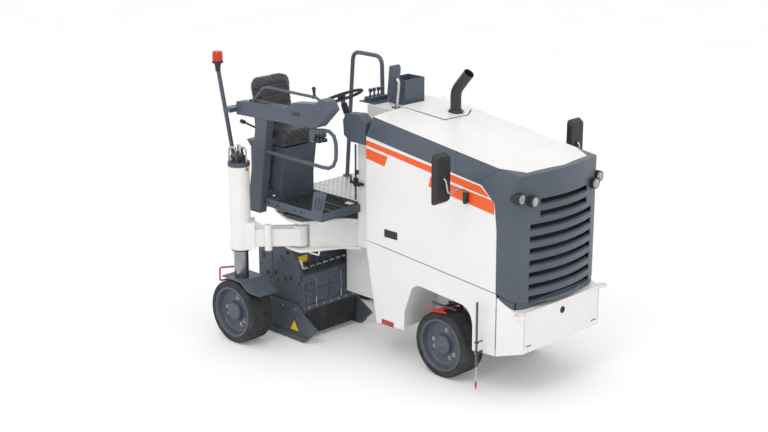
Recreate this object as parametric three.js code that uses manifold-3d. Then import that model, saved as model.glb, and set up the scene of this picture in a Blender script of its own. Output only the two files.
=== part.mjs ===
// Compact wheeled cold planer with a rear operator stand, modelled in millimetres.
// +X points to the front, +Y to the machine's left and +Z up. Sizes below are measured from a
// station point on the ground, midway between the two front wheels. The last lines move the whole
// machine so that its origin is the centre of its box, on the ground.

import * as THREE from 'three';
import { mergeVertices } from 'three/addons/utils/BufferGeometryUtils.js';
import Module from 'manifold-3d';

const wasm = await Module();
wasm.setup();

// ---------------------------------------------------------------- driving dimensions

const FACE_GAP = 0.3;                 // between two pieces that touch
const MOVING_GAP = 6;                 // between two pieces that move past each other

// wheels
const TYRE_RADIUS = 290;
const TYRE_WIDTH = 250;
const RIM_RADIUS = 231;
const RIM_LIP = 14;
const HUB_RADIUS = 92;
const AXLE_RADIUS = 44;
const WHEELBASE = 1880;
const FRONT_WHEEL_Y = 435;
const KINGPIN_Y = 370;
const RIGHT_REAR_Y = -1157;
const LEFT_REAR_Y = 465;

// hood and lower body
const BODY_HALF_WIDTH = 580;
const SHEET = 12;
const HOOD_REAR_X = -862;
const HOOD_FRONT_X = 806;
const GRILLE_BOW = 64;
const GRILLE_START_X = 630;
const HOOD_HIP_HEIGHT = 1969;         // where the side turns into the sloping band, at the rear
const HOOD_TOP_HEIGHT = 2128;         // upper edge of that band, at the rear
const HOOD_FALL = 0.137;              // the hood drops this much per unit of length
const BAND_INSET = 86;                // how far the band leans in over its height
const HOOD_CROWN = 26;
const SEAM_REAR_HEIGHT = 1044;
const SEAM_FRONT_HEIGHT = 915;
const SEAM_GAP = 8;
const HOOD_NOSE_HEIGHT = 770;
const SKIRT_HEIGHT = 318;
const ARCH_REAR_X = -418;
const ARCH_FRONT_X = 384;
const ARCH_HEIGHT = 765;
const WELL_INNER_Y = 160;
const BUMPER_HEIGHT = 778;
const BUMPER_BOTTOM = 430;
const BUMPER_FRONT_X = 856;
const BUMPER_START_X = 634;
const BUMPER_CHAMFER = 80;
const SLOT_COUNT = 9;
const SLOT_HEIGHT = 52;
const SLOT_PITCH = 101;
const LOWEST_SLOT_HEIGHT = 838;
const COVER_FRONT_X = -436;           // foremost corner of the fixed cover between the two bands
const COVER_RIGHT_Y = -130;
const COVER_LEFT_Y = 420;
const COVER_TAPER = 77;               // its right edge leans in this much towards the front
const EXHAUST_RADIUS = 48;
const EXHAUST_X = -516;
const EXHAUST_Y = 173;
const EXHAUST_BEND = 2305;
const LAMP_RADIUS = 46;
const MIRROR_X = 270;
const MIRROR_Y = BODY_HALF_WIDTH + 260;

// frame, deck and rear columns
const ENGINE_TOP = 1700;
const TOWER_REAR_X = -1100;
const TOWER_RIGHT_Y = -450;
const TOWER_LEFT_Y = 560;
const TOWER_TOP = 2000;
const TOWER_CAP_TOP = 2140;           // the raised box over the tower
const TOWER_CAP_REAR_X = TOWER_REAR_X - 100;
const TOWER_CAP_RIGHT_Y = -230;
const COLUMN_X = 8 - WHEELBASE;       // the lift columns stand almost over the rear wheel centres
const DECK_TOP = 1138;
const DECK_SHEET = 26;
const DECK_REAR_X = COLUMN_X - 88;
const ARM_BOTTOM = 888;
const ARM_TOP = 1076;
const ARM_GAP = 12;
const HINGE_X = COLUMN_X + 352;
const HINGE_Y = -756;
const HINGE_RADIUS = 42;
const COLUMN_RADIUS = 93.5;
const COLUMN_BOTTOM = 872;
const COLUMN_TOP = 1634;
const COLUMN_CAP = 26;
const ROD_RADIUS = 65;
const ROD_CLEARANCE = 2;
const ROD_FOOT = 604;
const ROD_TOP = 1400;
const FENDER_GAP = 22;
const CARRIER_SHEET = 24;

// milling unit
const DRUM_RADIUS = 262;
const DRUM_WIDTH = 500;
const DRUM_X = COLUMN_X + 120;
const DRUM_Y = -467;
const DRUM_ROOM = 75;                 // from the drum's end to the housing's outer face
const DRUM_AXIS_HEIGHT = 285;
const HOUSING_FRONT_X = DRUM_X + 302;
const HOUSING_REAR_X = DRUM_X - 310;
const HOUSING_RIGHT_Y = DRUM_Y - DRUM_WIDTH / 2 - DRUM_ROOM;
const HOUSING_LEFT_Y = DRUM_Y + DRUM_WIDTH / 2 + DRUM_ROOM;
const HOUSING_TOP = DRUM_AXIS_HEIGHT + 553;
const HOUSING_SHEET = 22;
const SCRAPER_PIVOT = 560;
const SIDE_PLATE = 26;
const CHEEK_Y = -250;                 // the plate that carries the milling unit's front, below the tower
const GROUND_CLEARANCE = 5;

// operator's place
const FLOOR_HEIGHT = 1300;
const FLOOR_REAR_X = COLUMN_X + 2;
const FLOOR_LEFT_Y = 330;
const WELL_RIGHT_Y = -915;
const WELL_LEFT_Y = -428;
const WELL_FRONT_X = TOWER_REAR_X + 32;
const WELL_RAIL = 74;
const SEAT_Y = -628;
const SEAT_X = COLUMN_X + 22;
const SEAT_WIDTH = 450;
const PEDESTAL_TOP = 1760;
const PEDESTAL_FRONT_X = SEAT_X + 150;
const PEDESTAL_REAR_X = SEAT_X - 330;
const WELL_REAR_X = PEDESTAL_FRONT_X - 100;
const CONSOLE_REAR_X = SEAT_X - 264;
const PEDESTAL_RIGHT_Y = -806;
const PEDESTAL_LEFT_Y = -424;
const CONSOLE_Y = -915;
const CONSOLE_WIDTH = 108;
const CONSOLE_BOTTOM = 2022;
const RAIL_RADIUS = 17;
const STEER_X = TOWER_REAR_X - 145;                // middle of the steering wheel
const STEER_Y = -500;
const STEER_HEIGHT = 2240;
const STEER_TILT = 26;                // degrees towards the driver
const BOSS_DEPTH = 26;
const HOOP_RADIUS = 19;
const HOOP_Y = 132;
const HOOP_RISE = 1194;
const MAST_RADIUS = 20;

const SEGMENTS = 24;
const WHEEL_SEGMENTS = 32;

// ---------------------------------------------------------------- finishes

function finish(color, roughness, metalness) {
  return { color, roughness, metalness };
}

const WHITE = finish(0xf1f0ec, 0.42, 0);
const SLATE = finish(0x4a5360, 0.5, 0.1);
const DARK = finish(0x24282d, 0.6, 0.1);
const RUBBER = finish(0x3a3a3d, 0.9, 0);
const CHROME = finish(0x9b9fa3, 0.2, 0.95);
const ALUMINIUM = finish(0xc9c9c6, 0.45, 0.8);
const LEATHERETTE = finish(0x37363a, 0.75, 0);

// ---------------------------------------------------------------- shape helpers

function toSolid(geometry) {
  const bare = geometry.clone();
  bare.deleteAttribute('normal');
  bare.deleteAttribute('uv');
  const merged = mergeVertices(bare, 1e-3);
  const mesh = new wasm.Mesh({
    numProp: 3,
    vertProperties: new Float32Array(merged.attributes.position.array),
    triVerts: new Uint32Array(merged.index.array),
  });
  return new wasm.Manifold(mesh);
}

function toGeometry(solid) {
  const mesh = solid.getMesh();
  const geometry = new THREE.BufferGeometry();
  geometry.setAttribute('position', new THREE.BufferAttribute(mesh.vertProperties, 3));
  geometry.setIndex(new THREE.BufferAttribute(mesh.triVerts, 1));
  geometry.computeVertexNormals();
  return geometry;
}

function box(x, y, z) {
  const geometry = new THREE.BoxGeometry(x[1] - x[0], y[1] - y[0], z[1] - z[0]);
  geometry.translate((x[0] + x[1]) / 2, (y[0] + y[1]) / 2, (z[0] + z[1]) / 2);
  return toSolid(geometry);
}

// A box whose spans may be given either way round.
function slab(x, y, z) {
  const ordered = [x, y, z].map((span) => [Math.min(...span), Math.max(...span)]);
  return box(...ordered);
}

// An outline pushed along an axis: drawn in (x, z) for 'y', in (y, z) for 'x', in (x, y) for 'z'.
function prism(axis, low, high, outline) {
  const listed = Array.isArray(outline);
  const shape = listed ? new THREE.Shape(outline.map((p) => new THREE.Vector2(...p))) : outline;
  const options = { depth: high - low, bevelEnabled: false, steps: 1, curveSegments: 6 };
  const geometry = new THREE.ExtrudeGeometry(shape, options);
  const X = new THREE.Vector3(1, 0, 0);
  const Y = new THREE.Vector3(0, 1, 0);
  const Z = new THREE.Vector3(0, 0, 1);
  if (axis === 'y') {
    geometry.applyMatrix4(new THREE.Matrix4().makeBasis(X, Z, Y.clone().negate()));
    geometry.translate(0, high, 0);
  } else if (axis === 'x') {
    geometry.applyMatrix4(new THREE.Matrix4().makeBasis(Y, Z, X));
    geometry.translate(low, 0, 0);
  } else {
    geometry.translate(0, 0, low);
  }
  return toSolid(geometry);
}

// A round bar along an axis, from low to high; centre is given in the two other coordinates.
function bar(axis, radius, low, high, centre, segments = SEGMENTS, endRadius = radius) {
  const geometry = new THREE.CylinderGeometry(endRadius, radius, high - low, segments);
  geometry.translate(0, (low + high) / 2, 0);
  if (axis === 'x') {
    geometry.rotateZ(-Math.PI / 2);
    geometry.translate(0, centre[0], centre[1]);
  } else if (axis === 'y') {
    geometry.translate(centre[0], 0, centre[1]);
  } else {
    geometry.rotateX(Math.PI / 2);
    geometry.translate(centre[0], centre[1], 0);
  }
  return toSolid(geometry);
}

// A round tube through corner points, with each corner rounded by bend.
function tube(points, radius, bend = 60, sides = 8, steps = 20) {
  const corners = points.map((p) => new THREE.Vector3(...p));
  const path = new THREE.CurvePath();
  let start = corners[0];
  for (let i = 1; i < corners.length - 1; i += 1) {
    const back = corners[i - 1].clone().sub(corners[i]).setLength(bend);
    const ahead = corners[i + 1].clone().sub(corners[i]).setLength(bend);
    const enter = corners[i].clone().add(back);
    const leave = corners[i].clone().add(ahead);
    path.add(new THREE.LineCurve3(start, enter));
    path.add(new THREE.QuadraticBezierCurve3(enter, corners[i], leave));
    start = leave;
  }
  path.add(new THREE.LineCurve3(start, corners[corners.length - 1]));
  const section = new THREE.Shape();
  for (let i = 0; i < sides; i += 1) {
    const angle = (2 * Math.PI * i) / sides;
    const point = [radius * Math.cos(angle), radius * Math.sin(angle)];
    if (i === 0) {
      section.moveTo(...point);
    } else {
      section.lineTo(...point);
    }
  }
  const count = corners.length === 2 ? 1 : steps;
  const options = { steps: count, extrudePath: path, bevelEnabled: false };
  return toSolid(new THREE.ExtrudeGeometry(section, options));
}

// A closed profile of (radius, height along the axis) turned about the Y axis.
function turned(profile, x, y, z, segments = SEGMENTS) {
  const points = profile.map((p) => new THREE.Vector2(p[0], p[1]));
  const geometry = new THREE.LatheGeometry(points, segments);
  geometry.translate(x, y, z);
  return toSolid(geometry);
}

function join(...solids) {
  return solids.reduce((sum, next) => sum.add(next));
}

// A board between two outlines' corners with rounded corners of one radius.
function roundedOutline(points, radius) {
  const corners = points.map((p) => new THREE.Vector2(...p));
  const shape = new THREE.Shape();
  corners.forEach((corner, i) => {
    const before = corners[(i + corners.length - 1) % corners.length];
    const after = corners[(i + 1) % corners.length];
    const enter = corner.clone().add(before.clone().sub(corner).setLength(radius));
    const leave = corner.clone().add(after.clone().sub(corner).setLength(radius));
    if (i === 0) {
      shape.moveTo(enter.x, enter.y);
    } else {
      shape.lineTo(enter.x, enter.y);
    }
    shape.quadraticCurveTo(corner.x, corner.y, leave.x, leave.y);
  });
  shape.closePath();
  return shape;
}

const machine = new THREE.Group();

function part(name, solid, look) {
  const material = new THREE.MeshStandardMaterial(look);
  const mesh = new THREE.Mesh(toGeometry(solid), material);
  mesh.name = name;
  machine.add(mesh);
}

// ---------------------------------------------------------------- wheels

function tyre(y) {
  const half = TYRE_WIDTH / 2;
  const edge = 18;
  const profile = [
    [RIM_RADIUS + FACE_GAP, -half],
    [TYRE_RADIUS - edge, -half],
    [TYRE_RADIUS, -half + edge],
    [TYRE_RADIUS, half - edge],
    [TYRE_RADIUS - edge, half],
    [RIM_RADIUS + FACE_GAP, half],
    [RIM_RADIUS + FACE_GAP, -half],
  ];
  return (x) => turned(profile, x, y, TYRE_RADIUS, WHEEL_SEGMENTS);
}

// side is +1 when the wheel's outer face looks to the left and -1 when it looks to the right.
function rim(x, y, side) {
  const half = TYRE_WIDTH / 2;
  const dish = half - 70;
  const hubFace = half - 22;
  const inner = -half;
  const bore = AXLE_RADIUS + MOVING_GAP;
  const boreEnd = half - 60;
  const profile = [
    [0, boreEnd],
    [bore, boreEnd],
    [bore, dish - 34],
    [RIM_RADIUS - RIM_LIP, dish - 34],
    [RIM_RADIUS - RIM_LIP, inner],
    [RIM_RADIUS, inner],
    [RIM_RADIUS, half],
    [RIM_RADIUS - RIM_LIP, half],
    [RIM_RADIUS - RIM_LIP - 16, dish],
    [HUB_RADIUS, dish],
    [HUB_RADIUS - 8, hubFace],
    [0, hubFace],
  ];
  const solid = turned(profile, 0, 0, 0, WHEEL_SEGMENTS);
  return (side > 0 ? solid : solid.mirror([0, 1, 0])).translate([x, y, TYRE_RADIUS]);
}

function wheel(name, x, y, side) {
  part(`tyre_${name}`, tyre(y)(x), RUBBER);
  part(`rim_${name}`, rim(x, y, side), SLATE);
}

// ---------------------------------------------------------------- front axle and steering

function frontAxle() {
  const beamHalf = KINGPIN_Y - 60;
  const beam = box([-50, 50], [-beamHalf, beamHalf], [TYRE_RADIUS - 50, TYRE_RADIUS + 60]);
  const post = box([-70, 70], [-110, 110], [TYRE_RADIUS + 50, 419]);
  let axle = join(beam, post);
  for (const side of [-1, 1]) {
    const y = side * KINGPIN_Y;
    const inner = side * (KINGPIN_Y - 62);
    const outer = side * (KINGPIN_Y + 34);
    const span = [Math.min(inner, outer), Math.max(inner, outer)];
    for (const level of [-1, 1]) {
      const z = TYRE_RADIUS + level * 82;
      const ear = box([-38, 38], span, [z - 12, z + 12]);
      axle = axle.add(ear);
    }
    const web = box([-38, 38], [Math.min(inner, inner + side * 16), Math.max(inner, inner + side * 16)],
      [TYRE_RADIUS - 94, TYRE_RADIUS + 94]);
    axle = axle.add(web).subtract(bar('z', 17, TYRE_RADIUS - 120, TYRE_RADIUS + 120, [0, y], 20));
  }
  part('front_axle', axle, SLATE);
}

// A knuckle carries the stub axle and, on a bracket over the tyre, the pointer that shows the driver
// which way the wheel is steered.
function knuckle(name, side) {
  const y = side * KINGPIN_Y;
  const barrel = bar('z', 30, TYRE_RADIUS - 64, TYRE_RADIUS + 64, [0, y], 24);
  const pin = bar('z', 15.5, TYRE_RADIUS - 112, TYRE_RADIUS + 112, [0, y], 20);
  const stubEnd = side * (FRONT_WHEEL_Y + TYRE_WIDTH / 2 - 66);
  const stub = bar('y', AXLE_RADIUS - 12, Math.min(y, stubEnd), Math.max(y, stubEnd), [0, TYRE_RADIUS], 24);
  const over = 2 * TYRE_RADIUS + 40;
  const standY = side * (FRONT_WHEEL_Y - TYRE_WIDTH / 2 - 22);
  const outY = side * (FRONT_WHEEL_Y + 66);
  const level = TYRE_RADIUS + 104;
  const foot = slab([-16, 16], [y, standY], [level, level + 12]);
  const stand = slab([-16, 16], [standY - 7, standY + 7], [level, over + 16]);
  const bridge = slab([-12, 12], [standY, outY], [over, over + 16]);
  const blade = slab([-150, 130], [outY - 9, outY + 9], [over, over + 16]);
  part(`knuckle_${name}`, join(barrel, pin, stub, foot, stand, bridge, blade), DARK);
}

// ---------------------------------------------------------------- hood and body

function hoodDrop(x) {
  return (x - HOOD_REAR_X) * HOOD_FALL;
}

function seamHeight(x) {
  const slope = (SEAM_FRONT_HEIGHT - SEAM_REAR_HEIGHT) / (GRILLE_START_X - HOOD_REAR_X);
  return SEAM_REAR_HEIGHT + slope * (x - HOOD_REAR_X);
}

// The hood's outside, shrunk inwards by skin: a plan outline, a side outline and a sloping section.
function hoodForm(skin) {
  const half = BODY_HALF_WIDTH - skin;
  const front = HOOD_FRONT_X - skin;
  const rear = HOOD_REAR_X - (skin > 0 ? SHEET : 0);
  const plan = new THREE.Shape();
  plan.moveTo(rear, -half);
  plan.lineTo(GRILLE_START_X, -half);
  plan.quadraticCurveTo(front - 30, -half + 20, front, -half + 170);
  plan.quadraticCurveTo(front + 2 * GRILLE_BOW, 0, front, half - 170);
  plan.quadraticCurveTo(front - 30, half - 20, GRILLE_START_X, half);
  plan.lineTo(rear, half);
  plan.closePath();
  const low = SEAM_FRONT_HEIGHT - 140;
  const body = prism('z', low, HOOD_TOP_HEIGHT + 100, plan);
  const hip = HOOD_HIP_HEIGHT - skin * 0.6;
  const top = HOOD_TOP_HEIGHT - skin;
  const ridge = half - BAND_INSET;
  const span = HOOD_FRONT_X + 200 - rear;
  const section = new THREE.Shape();
  section.moveTo(-half, 0);
  section.lineTo(half, 0);
  section.lineTo(half, hip);
  section.lineTo(ridge, top);
  section.quadraticCurveTo(0, top + 2 * HOOD_CROWN, -ridge, top);
  section.lineTo(-half, hip);
  section.closePath();
  const sheared = prism('x', rear, rear + span, section).warp((v) => {
    v[2] -= v[2] > 1 ? hoodDrop(v[0]) : 0;
  });
  const lower = prism('y', -half - 1, half + 1, [
    [rear - 1, seamHeight(rear)],
    [GRILLE_START_X, seamHeight(GRILLE_START_X)],
    [front + 150, HOOD_NOSE_HEIGHT],
    [front + 150, HOOD_TOP_HEIGHT + 200],
    [rear - 1, HOOD_TOP_HEIGHT + 200],
  ]);
  return body.intersect(sheared).intersect(lower);
}

// The fixed cover's outline seen from above, grown by a gap.
function coverOutline(grow) {
  const rear = HOOD_REAR_X - 30;
  return [
    [rear, COVER_RIGHT_Y - grow],
    [COVER_FRONT_X + grow, COVER_RIGHT_Y + COVER_TAPER - grow],
    [COVER_FRONT_X + grow, COVER_LEFT_Y - 180],
    [COVER_FRONT_X - 120 + grow, COVER_LEFT_Y + grow],
    [rear, COVER_LEFT_Y + grow],
  ];
}

// The lid between the two bands seen from above, grown by a gap.
function lidOutline(grow) {
  const ridge = BODY_HALF_WIDTH - BAND_INSET + grow;
  const rear = HOOD_REAR_X - 50;
  return [
    [rear, -ridge],
    [560, -ridge],
    [760, -ridge + 110],
    [HOOD_FRONT_X + 18 + grow, 0],
    [760, ridge - 110],
    [560, ridge],
    [rear, ridge],
  ];
}

function hoodPanels() {
  const shell = hoodForm(0).subtract(hoodForm(SHEET).translate([0, 0, -1]));
  const far = BODY_HALF_WIDTH + 50;
  const bandLow = prism('y', -far, far, [
    [HOOD_REAR_X - 20, 0],
    [GRILLE_START_X - FACE_GAP, 0],
    [GRILLE_START_X - FACE_GAP - 14, 1443],
    [GRILLE_START_X - FACE_GAP - 40, 1660],
    [450, HOOD_HIP_HEIGHT - hoodDrop(450)],
    [HOOD_REAR_X - 20, HOOD_HIP_HEIGHT - hoodDrop(HOOD_REAR_X - 20)],
  ]);
  const right = box([-2000, 2000], [-far, -400], [0, 3000]);
  const left = box([-2000, 2000], [400, far], [0, 3000]);
  part('hood_side_right', shell.intersect(bandLow).intersect(right), WHITE);
  part('hood_side_left', shell.intersect(bandLow).intersect(left), WHITE);

  const coverOpening = prism('z', 1500, 2400, coverOutline(MOVING_GAP));
  const lid = prism('z', 1500, 2400, lidOutline(0)).subtract(coverOpening);
  part('hood_top', shell.intersect(lid), WHITE);

  const lidGap = prism('z', 1500, 2400, lidOutline(FACE_GAP));
  const sideGap = bandLow.translate([FACE_GAP, 0, FACE_GAP]);
  let grille = shell.subtract(lidGap).subtract(sideGap);
  for (let i = 0; i < SLOT_COUNT; i += 1) {
    const z = LOWEST_SLOT_HEIGHT + i * SLOT_PITCH;
    const half = i < SLOT_COUNT - 2 ? 392 : 300;
    grille = grille.subtract(box([650, 1000], [-half, half], [z, z + SLOT_HEIGHT]));
  }
  part('hood_band_grille', grille, SLATE);
}

function headlights(name, side) {
  const inner = { y: side * (BODY_HALF_WIDTH - 186), z: 1694, face: 850 };
  const outer = { y: side * (BODY_HALF_WIDTH - 78), z: 1726, face: 806 };
  const between = (inner.y + outer.y) / 2;
  let pair = slab([780, 832], [between - 22, between + 22], [inner.z + 2, outer.z - 4]);
  for (const lamp of [inner, outer]) {
    pair = pair.add(bar('x', LAMP_RADIUS, 700, lamp.face, [lamp.y, lamp.z], 24));
  }
  const outside = box([600, 1000], [-700, 700], [1600, 1800]).subtract(hoodForm(-FACE_GAP));
  part(`headlights_${name}`, pair.intersect(outside), DARK);
}

function fixedCover() {
  const region = prism('z', 1500, 2400, coverOutline(0));
  const shell = hoodForm(0).subtract(hoodForm(SHEET).translate([0, 0, -1]));
  const raised = shell.intersect(region).translate([0, 0, 14]);
  const hole = bar('z', EXHAUST_RADIUS + MOVING_GAP, 1500, 2400, [EXHAUST_X, EXHAUST_Y], 24);
  part('rear_cover', raised.subtract(hole), WHITE);
}

function exhaust() {
  const path = (low, reach) => [
    [EXHAUST_X, EXHAUST_Y, low],
    [EXHAUST_X, EXHAUST_Y, EXHAUST_BEND],
    [EXHAUST_X + reach * 0.65, EXHAUST_Y, EXHAUST_BEND + reach * 0.76],
  ];
  const pipe = tube(path(ENGINE_TOP + FACE_GAP, 226), EXHAUST_RADIUS, 70, 12, 8);
  const mouth = tube(path(EXHAUST_BEND - 90, 260), EXHAUST_RADIUS - 6, 70, 12, 6);
  part('exhaust_pipe', pipe.subtract(mouth), DARK);
}

function mirror(name, side) {
  const y = side * MIRROR_Y;
  const near = y - side * 78;
  const far = y + side * 108;
  const face = prism('x', MIRROR_X - 28, MIRROR_X + 24, roundedOutline([
    [near, 1650], [near, 2070], [far, 2070], [far, 1650]], 36));
  const wall = side * (BODY_HALF_WIDTH + FACE_GAP);
  const arm = tube([
    [MIRROR_X + 20, y, 1842],
    [MIRROR_X + 62, y - side * 60, 1740],
    [MIRROR_X + 30, wall + side * 9, 1707],
  ], 10, 50, 8, 10);
  const foot = slab([MIRROR_X, MIRROR_X + 60], [wall, wall + side * 14], [1660, 1752]);
  const link = box([MIRROR_X + 20, MIRROR_X + 38], [y - 14, y + 14], [1810, 1870]);
  part(`mirror_${name}`, join(face, arm, foot, link), DARK);
}

function archOutline(grow) {
  const shape = new THREE.Shape();
  const rear = ARCH_REAR_X - grow;
  const front = ARCH_FRONT_X + grow;
  const top = ARCH_HEIGHT + grow;
  shape.moveTo(rear, -50);
  shape.lineTo(rear + 20, 496);
  shape.lineTo(rear + 96, top - 60);
  shape.quadraticCurveTo(rear + 120, top, rear + 200, top + 6);
  shape.lineTo(front - 130, top - 34);
  shape.quadraticCurveTo(front - 20, top - 60, front - 6, top - 190);
  shape.lineTo(front, -50);
  shape.closePath();
  return shape;
}

function lowerBody() {
  const outline = [
    [-738, SKIRT_HEIGHT - 10],
    [BUMPER_START_X - 10, SKIRT_HEIGHT + 56],
    [BUMPER_START_X - 10, seamHeight(BUMPER_START_X - 10) - SEAM_GAP],
    [HOOD_REAR_X - 14, seamHeight(HOOD_REAR_X - 14) - SEAM_GAP],
  ];
  const outer = BODY_HALF_WIDTH;
  const inner = BODY_HALF_WIDTH - SHEET;
  const skirts = prism('y', -outer, outer, outline).subtract(box([-1000, 1000], [-inner, inner], [0, 2000]));
  const archCut = prism('y', -outer - 10, outer + 10, archOutline(0));
  let body = skirts.subtract(archCut);
  for (const side of [-1, 1]) {
    const span = side > 0 ? [WELL_INNER_Y, inner + 1] : [-inner - 1, -WELL_INNER_Y];
    const cavity = side > 0 ? [WELL_INNER_Y + 12, outer + 10] : [-outer - 10, -WELL_INNER_Y - 12];
    const liner = prism('y', span[0], span[1], archOutline(12)).subtract(
      prism('y', cavity[0], cavity[1], archOutline(0)));
    const trimmed = liner.intersect(box([-1000, 1000], [-outer, outer], [SKIRT_HEIGHT + 30, 2000]));
    body = body.add(trimmed);
  }
  const axleSlot = box([-110, 110], [-WELL_INNER_Y - 40, WELL_INNER_Y + 40], [0, 470]);
  const bridge = box([-60, 60], [-WELL_INNER_Y - 1, WELL_INNER_Y + 1], [ARCH_HEIGHT - 10, ARCH_HEIGHT + 2]);
  part('lower_body', body.subtract(axleSlot).add(bridge), WHITE);
}

function bumper() {
  const outer = BODY_HALF_WIDTH;
  const nose = outer - BUMPER_CHAMFER;
  const plan = [
    [BUMPER_START_X, -outer],
    [BUMPER_FRONT_X, -nose],
    [BUMPER_FRONT_X, nose],
    [BUMPER_START_X, outer],
  ];
  const sideTop = seamHeight(BUMPER_START_X) - SEAM_GAP - 24;
  const profile = [
    [BUMPER_START_X, SKIRT_HEIGHT + 56],
    [BUMPER_FRONT_X, BUMPER_BOTTOM],
    [BUMPER_FRONT_X, BUMPER_HEIGHT],
    [BUMPER_START_X + 120, BUMPER_HEIGHT + 8],
    [BUMPER_START_X, sideTop],
  ];
  const block = prism('z', 0, 1000, plan).intersect(prism('y', -outer - 1, outer + 1, profile));
  const hollow = prism('z', 0, BUMPER_HEIGHT - 24, [
    [0, -outer + 24],
    [BUMPER_START_X, -outer + 24],
    [BUMPER_FRONT_X - 24, -nose + 24],
    [BUMPER_FRONT_X - 24, nose - 24],
    [BUMPER_START_X, outer - 24],
    [0, outer - 24],
  ]);
  const towEye = bar('x', 26, BUMPER_FRONT_X - 60, BUMPER_FRONT_X + 10, [0, 690], 20);
  const hoodRoom = hoodForm(-MOVING_GAP).translate([0, 0, -MOVING_GAP]);
  let body = block.subtract(hollow).subtract(towEye).subtract(hoodRoom);
  for (const side of [-1, 1]) {
    const place = [BUMPER_FRONT_X - 8, side * (nose + 34)];
    const ear = bar('z', 52, BUMPER_HEIGHT - 20, BUMPER_HEIGHT, place, 24);
    const hole = bar('z', 27, BUMPER_HEIGHT - 30, BUMPER_HEIGHT + 30, [place[0] + 10, place[1]], 20);
    body = body.add(ear.subtract(hoodRoom)).subtract(hole);
  }
  part('front_bumper', body, WHITE);
}

// A thin rod beside the right front wheel that the driver steers by, with a hanging plumb point.
function sightRod() {
  const x = 480;
  const y = -BODY_HALF_WIDTH - 70;
  const rod = tube([[x + 21, y, 828], [x, y, 416]], 10, 1, 8);
  const bracket = box([x - 12, x + 16], [y - 12, -BODY_HALF_WIDTH - FACE_GAP], [440, 458]);
  const chain = tube([[x, y, 420], [x, y, 135]], 4, 1, 6);
  const point = bar('z', 2, 61, 140, [x, y], 10, 15);
  part('sight_rod', join(rod, bracket, chain, point), DARK);
}

// ---------------------------------------------------------------- frame and deck

function frame() {
  const keel = box([TOWER_REAR_X + 30, 560], [-130, 130], [420, 610]);
  const cross = box([470, 560], [-460, 460], [420, 560]);
  const rear = box([TOWER_REAR_X + 30, -900], [CHEEK_Y + FACE_GAP, 520], [560, 900]);
  part('frame_keel', join(keel, cross, rear), SLATE);
}

function tower() {
  const wall = [TOWER_REAR_X, HOOD_REAR_X - 24];
  const block = box(wall, [TOWER_RIGHT_Y, TOWER_LEFT_Y], [901, TOWER_TOP]);
  const capY = [TOWER_CAP_RIGHT_Y, COVER_LEFT_Y];
  const cap = box([TOWER_CAP_REAR_X, wall[1]], capY, [TOWER_TOP - 60, TOWER_CAP_TOP]);
  const underDeck = ARM_BOTTOM - ARM_GAP - DECK_SHEET - FACE_GAP;
  const cheek = prism('y', CHEEK_Y - SIDE_PLATE, CHEEK_Y, [
    [HOUSING_FRONT_X + 20, 360],
    [wall[1] - 20, 360],
    [wall[1] - 20, 902],
    [TOWER_REAR_X, 902],
    [TOWER_REAR_X, underDeck],
    [HOUSING_FRONT_X + 20, underDeck],
  ]);
  part('rear_tower', join(block, cap, cheek), WHITE);
  const engine = box([-840, 560], [-400, 400], [800, ENGINE_TOP]);
  const radiator = box([540, 700], [-420, 420], [930, 1640]);
  part('engine_block', join(engine, radiator), DARK);
}

function deck() {
  const plate = roundedOutline([
    [TOWER_REAR_X - FACE_GAP, TOWER_RIGHT_Y + 60],
    [TOWER_REAR_X - FACE_GAP, TOWER_LEFT_Y],
    [DECK_REAR_X, TOWER_LEFT_Y],
    [DECK_REAR_X, HINGE_Y + 60],
    [HINGE_X - 80, HINGE_Y - 90],
    [HINGE_X + 90, HINGE_Y - 90],
    [TOWER_REAR_X - 150, TOWER_RIGHT_Y - 40],
  ], 40);
  const upper = prism('z', DECK_TOP - DECK_SHEET, DECK_TOP, plate);
  const lower = prism('z', ARM_BOTTOM - ARM_GAP - DECK_SHEET, ARM_BOTTOM - ARM_GAP, plate);
  const web = prism('z', ARM_BOTTOM - 20, DECK_TOP - 10, [
    [TOWER_REAR_X - FACE_GAP, TOWER_RIGHT_Y + 120],
    [TOWER_REAR_X - FACE_GAP, TOWER_LEFT_Y - 60],
    [HINGE_X - 300, TOWER_LEFT_Y - 200],
    [HINGE_X - 300, HINGE_Y + 330],
    [HINGE_X - 20, HINGE_Y + 84],
    [HINGE_X + 82, HINGE_Y + 40],
  ]);
  const columnHole = bar('z', COLUMN_RADIUS + FACE_GAP, 0, 3000, [COLUMN_X, LEFT_REAR_Y], SEGMENTS);
  const clamp = bar('z', COLUMN_RADIUS + 34, ARM_BOTTOM - 20, DECK_TOP, [COLUMN_X, LEFT_REAR_Y], SEGMENTS);
  const pin = bar('z', 20, ARM_BOTTOM - 20, DECK_TOP - 1, [HINGE_X, HINGE_Y], 20);
  const solid = join(upper, lower, web, clamp, pin).subtract(columnHole);
  part('deck_frame', solid, WHITE);
}

function column(name, y) {
  const tubeBody = bar('z', COLUMN_RADIUS, COLUMN_BOTTOM, COLUMN_TOP, [COLUMN_X, y]);
  const bore = bar('z', ROD_RADIUS + ROD_CLEARANCE, COLUMN_BOTTOM - 1, COLUMN_TOP - 40, [COLUMN_X, y]);
  const plate = bar('z', COLUMN_RADIUS + 6, COLUMN_TOP - 1, COLUMN_TOP + COLUMN_CAP, [COLUMN_X, y]);
  const capTop = COLUMN_TOP + COLUMN_CAP;
  const valve = bar('z', 52, capTop - 1, capTop + 90, [COLUMN_X - 8, y], 24);
  part(`column_${name}`, join(tubeBody, plate, valve).subtract(bore), WHITE);
}

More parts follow.
